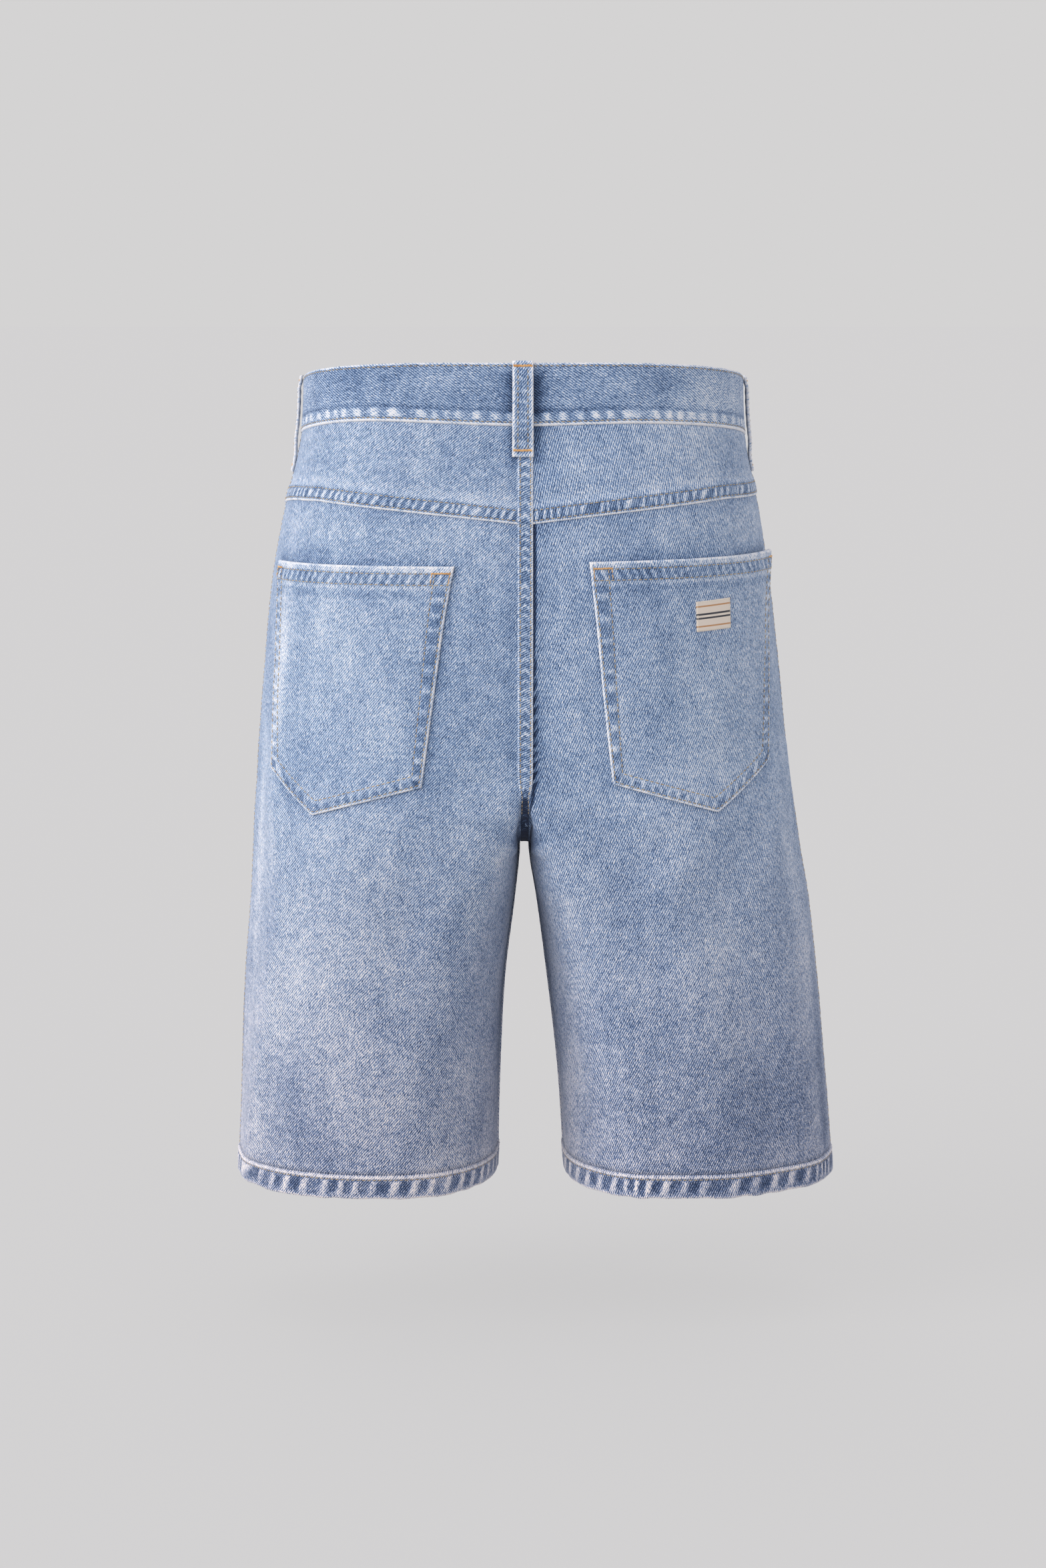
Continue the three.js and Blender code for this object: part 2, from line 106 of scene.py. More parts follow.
def makeStudio():
    # Camera at the photograph's place, soft suns, and paper that glows evenly under and behind
    turn = math.radians(studio["turned"])
    down = math.radians(studio["pitchDown"])
    camera = bpy.data.cameras.new("camera")
    camera.lens = studio["lens"]
    camera.sensor_width = 36
    camera.clip_end = 100
    holder = bpy.data.objects.new("camera", camera)
    holder.location = (
        studio["aside"] * math.cos(turn) + studio["distance"] * math.sin(turn),
        studio["distance"] * math.cos(turn) - studio["aside"] * math.sin(turn),
        studio["height"],
    )
    look = Vector((-math.sin(turn) * math.cos(down), -math.cos(turn) * math.cos(down), -math.sin(down)))
    holder.rotation_mode = "QUATERNION"
    holder.rotation_quaternion = look.to_track_quat("-Z", "Y")
    scene.collection.objects.link(holder)
    scene.camera = holder

    for name, place, angle, strength in studio["suns"]:
        sun = bpy.data.lights.new(name, "SUN")
        sun.angle = math.radians(angle)
        sun.energy = strength
        stand = bpy.data.objects.new(name, sun)
        stand.rotation_mode = "QUATERNION"
        stand.rotation_quaternion = (-Vector(place)).to_track_quat("-Z", "Y")
        scene.collection.objects.link(stand)

    world = bpy.data.worlds.new("studio")
    world.use_nodes = True
    tree = world.node_tree
    light = tree.nodes["Background"]
    light.inputs["Color"].default_value = (*linear(studio["skyColor"]), 1)
    light.inputs["Strength"].default_value = studio["skyStrength"]
    seen = node(tree, "ShaderNodeBackground", {"Color": (*linear(studio["seenColor"]), 1)})
    camera = node(tree, "ShaderNodeLightPath").outputs["Is Camera Ray"]
    either = node(tree, "ShaderNodeMixShader", None, {"Fac": camera})
    tree.links.new(light.outputs[0], either.inputs[1])
    tree.links.new(seen.outputs[0], either.inputs[2])
    tree.links.new(either.outputs[0], tree.nodes["World Output"].inputs["Surface"])
    scene.world = world
    scene.view_settings.view_transform = "Standard"

    half = studio["floorSize"] / 2
    mesh = bpy.data.meshes.new("floor")
    corners = [(-half, -half), (half, -half), (half, half), (-half, half)]
    mesh.from_pydata([(x, y, studio["floorZ"]) for x, y in corners], [], [(0, 1, 2, 3)])
    floor = bpy.data.objects.new("floor", mesh)
    scene.collection.objects.link(floor)
    paper, _, shader = newMaterial("seamless_paper")
    shader.inputs["Base Color"].default_value = (*linear(studio["floorColor"]), 1)
    shader.inputs["Roughness"].default_value = 0.95
    shader.inputs["Specular IOR Level"].default_value = 0.0
    shader.inputs["Emission Color"].default_value = (*linear(studio["floorGlow"]), 1)
    shader.inputs["Emission Strength"].default_value = 1.0
    mesh.materials.append(paper)
    print("studio made")


makeStudio()


# The form: the same outline as the solids, worked out as whole arrays, in millimetres
form = {
    "hemZ": -552.5,
    "hemDrop": 16.8,
    "crotchZ": -317.5,
    "crotchY": -5,
    "riseBack": 55,
    "riseFront": 75,
    "easeBelow": 45,
    "cleftHalf": 3.6,
    "cleftRound": 4,
    "cleftFull": 0.55,
    "cleftShut": 1.15,
    "seamGap": 0.04,
    "cloth": 1.1,
}
hemZ, hemDrop, crotchZ, crotchY = (form[k] for k in ("hemZ", "hemDrop", "crotchZ", "crotchY"))

sectionNames = ("z", "outL", "outR", "inL", "inR", "back", "front", "peak", "outExp", "inExp", "side")
sections = np.array([
    (-560, 201.5, 217, 15.8, 26, 93, 88, 97, 2.2, 2.3, 0),
    (-480, 198.1, 210.1, 14, 20.8, 98.5, 91.5, 96, 2.2, 2.6, 2),
    (-410, 194.3, 203.2, 10, 12.6, 105.5, 95.5, 94, 2.2, 3, 4),
    (-360, 190.5, 197.6, 3.6, 5.8, 112, 99.5, 90, 2.2, 3.7, 6),
    (-325, 188, 191.8, 0, 0.3, 117.5, 103, 82, 2.2, 4.6, 7),
    (-290, 186, 186.6, 0, 0, 123, 106.5, 62, 2.25, 5, 8),
    (-250, 183, 181, 0, 0, 127.5, 110.5, 34, 2.3, 5, 8),
    (-200, 179.3, 175.4, 0, 0, 130, 115.5, 12, 2.35, 4, 8),
    (-140, 173, 168, 0, 0, 130.5, 120, 0, 2.45, 3, 8),
    (-90, 163.5, 160.2, 0, 0, 126.5, 122, 0, 2.6, 3, 7),
    (-40, 151.7, 150.3, 0, 0, 119, 121, 0, 2.8, 3, 6),
    (40, 148.7, 147.8, 0, 0, 113, 117, 0, 2.9, 3, 6),
])

# Large soft folds, as in the solids: side, place round the half at the top and the foot,
# height of the top and the foot, width, depth
folds = [
    (1, 0.32, 0.15, -190, -540, 0.05, 1.8),
    (1, 0.2, 0.07, -230, -540, 0.05, -1.4),
    (1, 0.8, 0.7, -330, -520, 0.07, -1.8),
    (-1, 0.27, 0.18, -290, -545, 0.05, 1.8),
    (-1, 0.38, 0.3, -300, -545, 0.06, -1.8),
    (-1, 0.84, 0.78, -340, -530, 0.06, -1.6),
    (1, -0.86, -0.55, -260, -420, 0.08, -2.2),
    (-1, -0.86, -0.5, -255, -400, 0.08, -2.4),
    (1, -0.3, -0.22, -300, -540, 0.07, 1.8),
    (-1, -0.34, -0.25, -280, -540, 0.07, 1.8),
]
foldFade = 35

# Smaller creases: side, g and z of both ends, half width, depth (ridges positive)
creases = [
    (1, 0.99, -292, 0.80, -312, 5.0, -1.5),
    (1, 0.97, -283, 0.74, -287, 5.5, 1.1),
    (1, 0.96, -305, 0.84, -350, 5.0, -1.2),
    (1, 0.93, -262, 0.76, -262, 6.0, -0.8),
    (-1, 0.99, -290, 0.82, -306, 5.0, -1.4),
    (-1, 0.97, -280, 0.78, -280, 5.5, 1.1),
    (-1, 0.96, -305, 0.86, -356, 5.0, -1.3),
    (-1, 0.94, -258, 0.80, -250, 6.0, -0.7),
    (1, 0.93, -66, 0.82, -50, 4.0, 0.7),
    (-1, 0.94, -68, 0.85, -52, 4.0, 0.6),
    (1, 0.62, -82, 0.57, -52, 5.0, 0.6),
    (1, 0.26, -60, 0.30, -110, 6.0, 0.7),
    (-1, 0.30, -58, 0.24, -104, 6.0, 0.6),
    (1, 0.46, -300, 0.40, -420, 9.0, 0.8),
    (1, 0.56, -340, 0.52, -470, 10.0, -0.8),
    (-1, 0.50, -320, 0.45, -450, 9.0, 0.7),
    (-1, 0.60, -300, 0.58, -430, 10.0, -0.8),
    (-1, 0.10, -250, 0.14, -480, 8.0, 0.9),
    (1, -0.97, -285, -0.76, -262, 6.0, -1.6),
    (1, -0.97, -300, -0.74, -300, 6.0, 1.3),
    (-1, -0.97, -285, -0.78, -258, 6.0, -1.6),
    (-1, -0.97, -300, -0.76, -304, 6.0, 1.3),
    (1, -0.94, -240, -0.70, -205, 7.0, -1.2),
    (-1, -0.94, -238, -0.72, -200, 7.0, -1.2),
]
halfName = {1: "left", -1: "right"}
halfRound = 240.0  # usual length of a half's back or front, from outseam to seam


def smooth(low, high, value):
    # Soft step from 0 at low to 1 at high, and below it the step down, a bell curve and a blend
    t = np.clip((value - low) / (high - low), 0, 1)
    return t * t * (3 - 2 * t)


def fall(low, high, value):
    return 1 - smooth(low, high, value)


def bell(x, width):
    return np.exp(-((x / width) ** 2))


def mix(a, b, t):
    return a + (b - a) * t


def column(name, z):
    # Cubic run through one column of the table, with slopes weighted by the gaps of its rows
    rows = sections[:, 0]
    values = sections[:, sectionNames.index(name)]
    gaps = np.diff(rows)
    chords = np.diff(values) / gaps
    inner = (chords[:-1] * gaps[1:] + chords[1:] * gaps[:-1]) / (gaps[1:] + gaps[:-1])
    slopes = np.concatenate(([chords[0]], inner, [chords[-1]]))
    i = np.clip(np.searchsorted(rows, z) - 1, 0, len(rows) - 2)
    t = np.clip((z - rows[i]) / gaps[i], 0, 1)
    rise = t * t * (3 - 2 * t)
    lead = t * (1 - t) ** 2 * gaps[i] * slopes[i]
    lag = t * t * (t - 1) * gaps[i] * slopes[i + 1]
    return mix(values[i], values[i + 1], rise) + lead + lag


def quarter(angle, power):
    # Quarter of a rounded square: angle to its two coordinates
    c, s = np.abs(np.cos(angle)), np.abs(np.sin(angle))
    m = (c**power + s**power) ** (1 / power)
    return c / m, s / m


def cleftAt(z):
    # 1 low in the cleft between the thighs, 0 above it
    low = crotchZ + form["cleftFull"] * form["riseBack"]
    high = crotchZ + form["cleftShut"] * form["riseBack"]
    return fall(low, high, z)


def outline(side, g, z):
    # g runs round one half from the outseam, 0, to the back end, +1, or the front end, -1.
    # Each end is two rounded quarters, outseam to fullest point and on to the seam.
    g, z = np.broadcast_arrays(np.asarray(g, float), np.asarray(z, float))
    above = z > crotchZ
    over = np.abs(g) > 1
    run = np.where(over, np.sign(g) * (2 - np.abs(g)), g)
    run = np.where(over & ~above, -run, run)
    back = run >= 0
    f = np.abs(run)
    outX = column("outL" if side > 0 else "outR", z)
    inner = np.where(above, 0, np.maximum(column("inL" if side > 0 else "inR", z), 0))
    endX = form["seamGap"] / 2 + inner
    depth = np.where(back, column("back", z), -column("front", z))
    peak = np.maximum(column("peak", z), endX + 1e-6)
    sideY = column("side", z)
    height = np.where(back, form["riseBack"], form["riseFront"])
    turn = np.clip((crotchZ + height - z) / height, 0, 1)
    reach = np.where(above, np.sqrt(1 - turn * turn), 0)
    eased = smooth(crotchZ - form["easeBelow"], crotchZ + height, z)
    meetY = crotchY + np.where(back, 1, -1) * form["seamGap"] / 2
    meanY = mix(meetY, depth, eased)
    outExp = column("outExp", z)
    outerRun = math.pi / 2 * np.hypot(outX - peak, depth - sideY) / math.sqrt(2) * (1 + 0.11 * (outExp - 2))
    innerRun = np.hypot(peak - endX, depth - meanY) * (1.2 - 0.08 * eased)
    share = np.minimum(outerRun / (outerRun + innerRun), 1 - 1e-6)
    outer = f < share
    c, s = quarter(np.where(outer, f / share, np.clip((f - share) / (1 - share), 0, 1)) * math.pi / 2,
                   np.where(outer, outExp, column("inExp", z)))
    endY = mix(meetY, depth, mix(eased, reach, s**8))
    x = np.where(outer, peak + (outX - peak) * c, peak - (peak - endX) * s)
    y = np.where(outer, sideY + (depth - sideY) * s, endY + (depth - endY) * c)
    fromEnd = np.hypot((1 - f) * (outerRun + innerRun), np.maximum(crotchZ - z, 0))
    rounded = np.sqrt(1 - (1 - np.minimum(fromEnd / form["cleftRound"], 1)) ** 2)
    x = x + form["cleftHalf"] * rounded * cleftAt(z) * (1 - x / outX)
    return np.stack([side * np.where(over & above, -x, x), y, z], -1)


def noise(u, v, size, seed):
    # Smooth random heights, -1 to 1, on a square net of the given size
    table = np.random.default_rng(seed).uniform(-1, 1, (97, 89))
    x, y = np.broadcast_arrays(np.asarray(u, float) / size, np.asarray(v, float) / size)
    i, j = np.floor(x).astype(int), np.floor(y).astype(int)
    s, t = x - i, y - j
    s, t = s * s * (3 - 2 * s), t * t * (3 - 2 * t)
    i0, i1, j0, j1 = i % 97, (i + 1) % 97, j % 89, (j + 1) % 89
    return mix(mix(table[i0, j0], table[i1, j0], s), mix(table[i0, j1], table[i1, j1], s), t)


def toSegment(u, v, start, end):
    # Distance from points to a segment, and the share along it of the nearest point
    du, dv = end[0] - start[0], end[1] - start[1]
    t = np.clip(((u - start[0]) * du + (v - start[1]) * dv) / (du * du + dv * dv), 0, 1)
    return np.hypot(u - start[0] - t * du, v - start[1] - t * dv), t


def drape(side, g, z):
    # Folds, creases and the slack of washed cloth, as a height over the bare outline
    height = np.zeros(np.broadcast(g, z).shape)
    for foldSide, gTop, gLow, zTop, zLow, width, depth in folds:
        if foldSide == side:
            along = np.clip((zTop - z) / (zTop - zLow), 0, 1)
            off = (g - mix(gTop, gLow, along)) / width
            starts = smooth(zLow - foldFade, zLow + foldFade, z)
            ends = smooth(zTop - foldFade, zTop + foldFade, z)
            height += depth * np.exp(-off * off) * starts * (1 - ends)
    for creaseSide, g0, z0, g1, z1, width, depth in creases:
        if creaseSide == side:
            far, along = toSegment(g * halfRound, z, (g0 * halfRound, z0), (g1 * halfRound, z1))
            height += depth * bell(far, width) * np.sqrt(np.clip(1 - along, 0, 1))
    u = g * halfRound + (1000 if side > 0 else 0)
    slack = 0.9 * noise(u, z * 0.38, 34, 3) + 0.3 * noise(u, z * 0.6, 15, 4)
    calm = smooth(-30, -110, z) * 0.75 + 0.25
    ends = smooth(1.0, 0.94, np.abs(g))
    return height + slack * calm * ends


def surface(side, g, z, lift=0.0):
    # Point of the cloth's outer face, moved out by lift, and the direction outwards
    dg, dz = 0.002, 0.6
    g, z = np.broadcast_arrays(np.asarray(g, float), np.asarray(z, float))
    alongG = outline(side, g + dg, z) - outline(side, g - dg, z)
    alongZ = outline(side, g, z + dz) - outline(side, g, z - dz)
    out = np.cross(alongG, alongZ) * side
    onSeam = (np.abs(g) > 1 - 1e-6) & (z > crotchZ - 1e-6)
    out[..., 0] = np.where(onSeam, 0, out[..., 0])
    out /= np.linalg.norm(out, axis=-1, keepdims=True)
    total = np.asarray(drape(side, g, z) + lift)
    return outline(side, g, z) + out * total[..., None], out


# Lengths round each half, so that seams and pockets can be placed in millimetres
tableZ = np.arange(-560.0, 42.0, 2.0)
tableG = np.linspace(0, 1, 181)
lengths = {}
for side in (1, -1):
    for sign in (1, -1):
        path = outline(side, sign * tableG[None, :], tableZ[:, None])
        steps = np.linalg.norm(np.diff(path, axis=1), axis=2)
        lengths[side, sign] = np.concatenate([np.zeros((len(tableZ), 1)), np.cumsum(steps, axis=1)], axis=1)


def lengthRows(side, sign, z):
    # The table's rows at heights z, blended between neighbours
    place = np.clip((z - tableZ[0]) / 2.0, 0, len(tableZ) - 1.001)
    i = place.astype(int)
    w = (place - i)[:, None]
    table = lengths[side, sign]
    return table[i] * (1 - w) + table[i + 1] * w


def placeAt(side, arc, z):
    # Distance round the half from the outseam, turned into g
    arc, z = np.broadcast_arrays(np.asarray(arc, float), np.asarray(z, float))
    flatArc, flatZ = arc.ravel(), z.ravel()
    g = np.empty_like(flatArc)
    for sign in (1, -1):
        mine = (flatArc >= 0) if sign > 0 else (flatArc < 0)
        if mine.any():
            rows = lengthRows(side, sign, flatZ[mine])
            goal = np.abs(flatArc[mine])
            k = np.clip((rows <= goal[:, None]).sum(axis=1) - 1, 0, len(tableG) - 2)
            n = np.arange(len(k))
            t = (goal - rows[n, k]) / (rows[n, k + 1] - rows[n, k])
            g[mine] = sign * np.minimum((k + t) / (len(tableG) - 1), 1.0)
    return g.reshape(arc.shape)


def arcAt(side, g, z):
    # The same the other way: g turned into millimetres from the outseam
    g, z = np.broadcast_arrays(np.asarray(g, float), np.asarray(z, float))
    flatG, flatZ = g.ravel(), z.ravel()
    arc = np.empty_like(flatG)
    for sign in (1, -1):
        mine = (flatG >= 0) if sign > 0 else (flatG < 0)
        if mine.any():
            rows = lengthRows(side, sign, flatZ[mine])
            place = np.minimum(np.abs(flatG[mine]), 1.2) * (len(tableG) - 1)
            k = np.minimum(place.astype(int), len(tableG) - 2)
            n = np.arange(len(k))
            arc[mine] = sign * (rows[n, k] + (rows[n, k + 1] - rows[n, k]) * (place - k))
    return arc.reshape(g.shape)


def fromSeam(side, end, c, z):
    # g at distance c from the seam at one end of a half, past the seam where c is negative
    length = np.abs(arcAt(side, np.full(np.shape(z), float(end)), z))
    g = placeAt(side, end * (length - np.abs(c)), z)
    return np.where(c < 0, 2 * end - g, g)


def seamDistance(side, end, g, z):
    # The other way, for places that aren't far past the seam
    length = np.abs(arcAt(side, np.full(np.shape(z), float(end)), z))
    c = length - np.abs(arcAt(side, np.where(np.abs(g) > 1, 2 * end - g, g), z))
    return np.where(np.abs(g) > 1, -c, c)


# Seam lines
def waistSeamZ(x, y):
    # The seam climbs towards the back, dips over the seat seam and lifts at the left side
    return -40.3 + 0.125 * y - 2.6 * bell(x, 55) + 2.4 * bell(x - 118, 45)


def waistTopZ(x, y):
    # The top edge runs along with it
    return -0.8 + 0.125 * y - 0.6 * bell(x, 55)


def seamOf(line, side, g):
    # Height of a seam line at g: the line needs x and y, which need the height, so it runs four times
    g = np.asarray(g, float)
    z = np.full(g.shape, -30.0)
    for _ in range(4):
        point = outline(side, g, z)
        z = line(point[..., 0], point[..., 1])
    return z


def yokeZ(side, f):
    # Lower edge of the yoke: nearly level from the side, then down to the seat seam, and on the left
    # half a little down at the side too
    inwards = np.clip((f - 0.42) / 0.58, 0, 1) ** 1.25
    outwards = 6 * np.clip(1 - f / 0.45, 0, 1) ** 2 if side > 0 else 0
    return mix(yokes["sideZ"][side], yokes["seatZ"], inwards) - outwards


# Meshes
def putMesh(name, points, faces, uv, values, material):
    # points in millimetres, faces as rows of four, uv for each face corner, values for each point
    mesh = bpy.data.meshes.new(name)
    mesh.vertices.add(len(points))
    mesh.vertices.foreach_set("co", (points * mm).astype(np.float32).ravel())
    mesh.loops.add(faces.size)
    mesh.loops.foreach_set("vertex_index", faces.astype(np.int32).ravel())
    mesh.polygons.add(len(faces))
    mesh.polygons.foreach_set("loop_start", np.arange(0, faces.size, 4, dtype=np.int32))
    mesh.update(calc_edges=True)
    mesh.polygons.foreach_set("use_smooth", np.full(len(faces), True))
    if uv is not None:
        layer = mesh.uv_layers.new(name="cloth")
        layer.data.foreach_set("uv", uv.astype(np.float32).ravel())
    for key, value in values.items():
        attribute = mesh.attributes.new(key, "FLOAT", "POINT")
        attribute.data.foreach_set("value", value.astype(np.float32).ravel())
    mesh.validate()
    mesh.materials.append(material)
    piece = bpy.data.objects.new(name, mesh)
    scene.collection.objects.link(piece)
    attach(piece, "root")
    return piece


def shell(name, outer, inner, uv, fadeAndShade, material, wrap=False):
    # Closed wall over a grid: the outer face, the inner face and a rim along every open edge.
    # Corners are (row, column, layer); with wrap the last column runs on into the first.
    rows, cols = outer.shape[:2]
    last = cols if wrap else cols - 1
    i, j = np.meshgrid(np.arange(rows - 1), np.arange(last), indexing="ij")
    i, j = i.ravel(), j.ravel()
    o, n = np.zeros_like(i), np.ones_like(i)
    groups = [
        [(i, j, o), (i, j + 1, o), (i + 1, j + 1, o), (i + 1, j, o)],
        [(i, j, n), (i + 1, j, n), (i + 1, j + 1, n), (i, j + 1, n)],
    ]
    j = np.arange(last)
    o, n, first, top = np.zeros_like(j), np.ones_like(j), np.zeros_like(j), np.full_like(j, rows - 1)
    groups.append([(first, j, o), (first, j, n), (first, j + 1, n), (first, j + 1, o)])
    groups.append([(top, j, o), (top, j + 1, o), (top, j + 1, n), (top, j, n)])
    if not wrap:
        i = np.arange(rows - 1)
        o, n, first, end = np.zeros_like(i), np.ones_like(i), np.zeros_like(i), np.full_like(i, cols - 1)
        groups.append([(i, first, o), (i + 1, first, o), (i + 1, first, n), (i, first, n)])
        groups.append([(i, end, o), (i, end, n), (i + 1, end, n), (i + 1, end, o)])
    corners = np.concatenate([np.stack([np.stack(c, -1) for c in group], 1) for group in groups])
    faces = corners[..., 2] * rows * cols + corners[..., 0] * cols + corners[..., 1] % cols
    faceUv = uv[corners[..., 0], corners[..., 1]]
    points = np.concatenate([outer.reshape(-1, 3), inner.reshape(-1, 3)])
    a, b, c, d = (points[faces[:, k]] for k in range(4))
    volume = (a * np.cross(b, c)).sum() + (a * np.cross(c, d)).sum()
    if volume < 0:
        faces, faceUv = faces[:, ::-1], faceUv[:, ::-1]
    # The first value per point holds fading and wear together with painted shade
    values = {
        "fadeAndShade": np.concatenate([fadeAndShade.ravel(), fadeAndShade.ravel()]),
        "inside": np.repeat([0.0, 1.0], rows * cols),
    }
    return putMesh(name, points, faces, faceUv, values, material)


def crowd(count, amount):
    # Steps from 0 to 1 that stand closer at both ends
    s = np.linspace(0, 1, count)
    return s - amount * np.sin(2 * math.pi * s) / (2 * math.pi)


def turned(u, v, degrees):
    # Cloth coordinates turned by the tilt of the grain, in metres
    a = math.radians(degrees)
    return np.stack([u * math.cos(a) - v * math.sin(a), u * math.sin(a) + v * math.cos(a)], -1) * mm


# Materials
denim = {
    "wale": 1.4,  # spacing of the twill lines, as wide as the photograph shows them
    "walePitchDegrees": 55,
    # unworn indigo to bare weft
    "colors": ["#1d2b46", "#42587c", "#5f7aa1", "#92a7c6", "#bfccde", "#e8e6e8"],
    "colorStops": [0.0, 0.2, 0.41, 0.61, 0.80, 1.0],
    "reverse": "#c3c9d2",
    # greyer and pinker down the legs, from one height to another in metres
    "legColors": ["#1d2b46", "#425578", "#5e7198", "#98a2ba", "#c7c7d3", "#ebe2e0"],
    "legFrom": -0.26,
    "legTo": -0.54,
    "legContrast": 0.35,
}


def washedDenim():
    # Cotton denim, 3/1 right-hand twill, stone-washed: white weft shows between indigo wales,
    # most where it has rubbed. Cotton is matt, with a little fuzz that catches light.
    material, tree, shader = newMaterial("washed_denim")
    uv = node(tree, "ShaderNodeUVMap", {"uv_map": "cloth"}).outputs["UV"]
    place = node(tree, "ShaderNodeTexCoord").outputs["Object"]
    fadeAndShade = node(tree, "ShaderNodeAttribute", {"attribute_name": "fadeAndShade"}).outputs["Fac"]
    inside = node(tree, "ShaderNodeAttribute", {"attribute_name": "inside"}).outputs["Fac"]

    def maths(operation, a, b, clamp=False):
        made = node(tree, "ShaderNodeMath", {"operation": operation, "use_clamp": clamp})
        for k, value in enumerate((a, b)):
            if isinstance(value, (int, float)):
                made.inputs[k].default_value = value
            else:
                tree.links.new(value, made.inputs[k])
        return made.outputs[0]

    def scaled(scale, turn=math.radians(90 - denim["walePitchDegrees"])):
        # uv turned, unless told otherwise, so that X runs across the wales
        settings = {"Rotation": (0, 0, turn), "Scale": scale}
        return node(tree, "ShaderNodeMapping", settings, {"Vector": uv}).outputs[0]

    def speckle(scale, detail, vector, roughness=0.5):
        return node(tree, "ShaderNodeTexNoise", {"Scale": scale, "Detail": detail, "Roughness": roughness},
                    {"Vector": vector}).outputs["Fac"]

    period = 2 * math.pi / 20  # of the wave texture's bands at scale 1
    wales = node(tree, "ShaderNodeTexWave", {
        "wave_type": "BANDS", "bands_direction": "X", "wave_profile": "SIN",
        "Scale": period / (denim["wale"] * mm), "Distortion": 2.6, "Detail": 2.0,
        "Detail Scale": 0.55, "Detail Roughness": 0.6,
    }, {"Vector": scaled((1, 1, 1))}).outputs["Fac"]
    # Slubs: the wales thicken, thin and break over a few millimetres
    slub = speckle(1.0, 1.0, scaled((1150, 420, 1)))
    grain = speckle(1650.0, 1.0, uv)
    yarn = speckle(1.0, 1.0, scaled((900, 85, 1), 0))
    patches = speckle(150.0, 3.0, place, 0.62)
    clouds = speckle(22.0, 2.0, place)

    rub = maths("ADD", maths("MULTIPLY", slub, 0.9), 0.55)  # wear catches the raised yarns first
    # The attribute read here carries fading and wear, and also painted shade beside seams, pockets and loops, in
    # stitch grooves and between the thighs
    level = maths("ADD", maths("MULTIPLY", maths("MULTIPLY", fadeAndShade, rub), 0.42), 0.49)
    amounts = ((wales, 0.50), (slub, 1.25), (grain, 1.1), (yarn, 0.4), (patches, 0.45), (clouds, 0.3))
    for source, amount in amounts:
        level = maths("ADD", level, maths("MULTIPLY", maths("SUBTRACT", source, 0.5), amount))
    level = maths("ADD", maths("MULTIPLY", level, 0.82), 0.18)
    height = node(tree, "ShaderNodeSeparateXYZ", None, {"Vector": place}).outputs["Z"]
    leg = node(tree, "ShaderNodeMapRange", {"From Min": denim["legFrom"], "From Max": denim["legTo"]},
               {"Value": height}).outputs["Result"]
    spread = maths("MULTIPLY", maths("SUBTRACT", level, 0.56), maths("MULTIPLY", leg, denim["legContrast"]))
    level = maths("ADD", level, spread)

    upper = colorRamp(tree, level, denim["colors"], denim["colorStops"])
    lower = colorRamp(tree, level, denim["legColors"], denim["colorStops"])
    dusty = node(tree, "ShaderNodeMix", {"data_type": "RGBA", "blend_type": "MIX"},
                 {"Factor": leg, "A": upper, "B": lower})
    # The reverse shows mostly weft
    reverse = node(tree, "ShaderNodeMix", {"data_type": "RGBA", "blend_type": "MIX"},
                   {"Factor": maths("MULTIPLY", inside, 0.72), "A": dusty.outputs["Result"]})
    reverse.inputs["B"].default_value = (*linear(denim["reverse"]), 1)
    relief = maths("ADD", wales, maths("MULTIPLY", slub, 0.8))
    bump = node(tree, "ShaderNodeBump", {"Strength": 0.55, "Distance": 0.0003}, {"Height": relief})
    tree.links.new(reverse.outputs["Result"], shader.inputs["Base Color"])
    tree.links.new(bump.outputs["Normal"], shader.inputs["Normal"])
    shader.inputs["Roughness"].default_value = 0.88
    shader.inputs["Specular IOR Level"].default_value = 0.25
    shader.inputs["Sheen Weight"].default_value = 0.12
    shader.inputs["Sheen Roughness"].default_value = 0.5
    return material


def sewingThread(name, color, pale):
    # Polyester-cotton core thread, washed: a matt twisted yarn with a faint shine
    material, tree, shader = newMaterial(name)
    place = node(tree, "ShaderNodeTexCoord").outputs["Object"]
    worn = node(tree, "ShaderNodeTexNoise", {"Scale": 90.0, "Detail": 2.0}, {"Vector": place}).outputs["Fac"]
    tree.links.new(colorRamp(tree, worn, (color, pale), (0.35, 0.7)), shader.inputs["Base Color"])
    shader.inputs["Roughness"].default_value = 0.6
    shader.inputs["Sheen Weight"].default_value = 0.2
    return material


cloth = washedDenim()
tanThread = sewingThread("tan_thread", "#a58c68", "#c8b596")
goldThread = sewingThread("gold_thread", "#d79b55", "#ecc48c")
creamThread = sewingThread("cream_thread", "#cfc6b4", "#e6dfd0")
print("materials made")
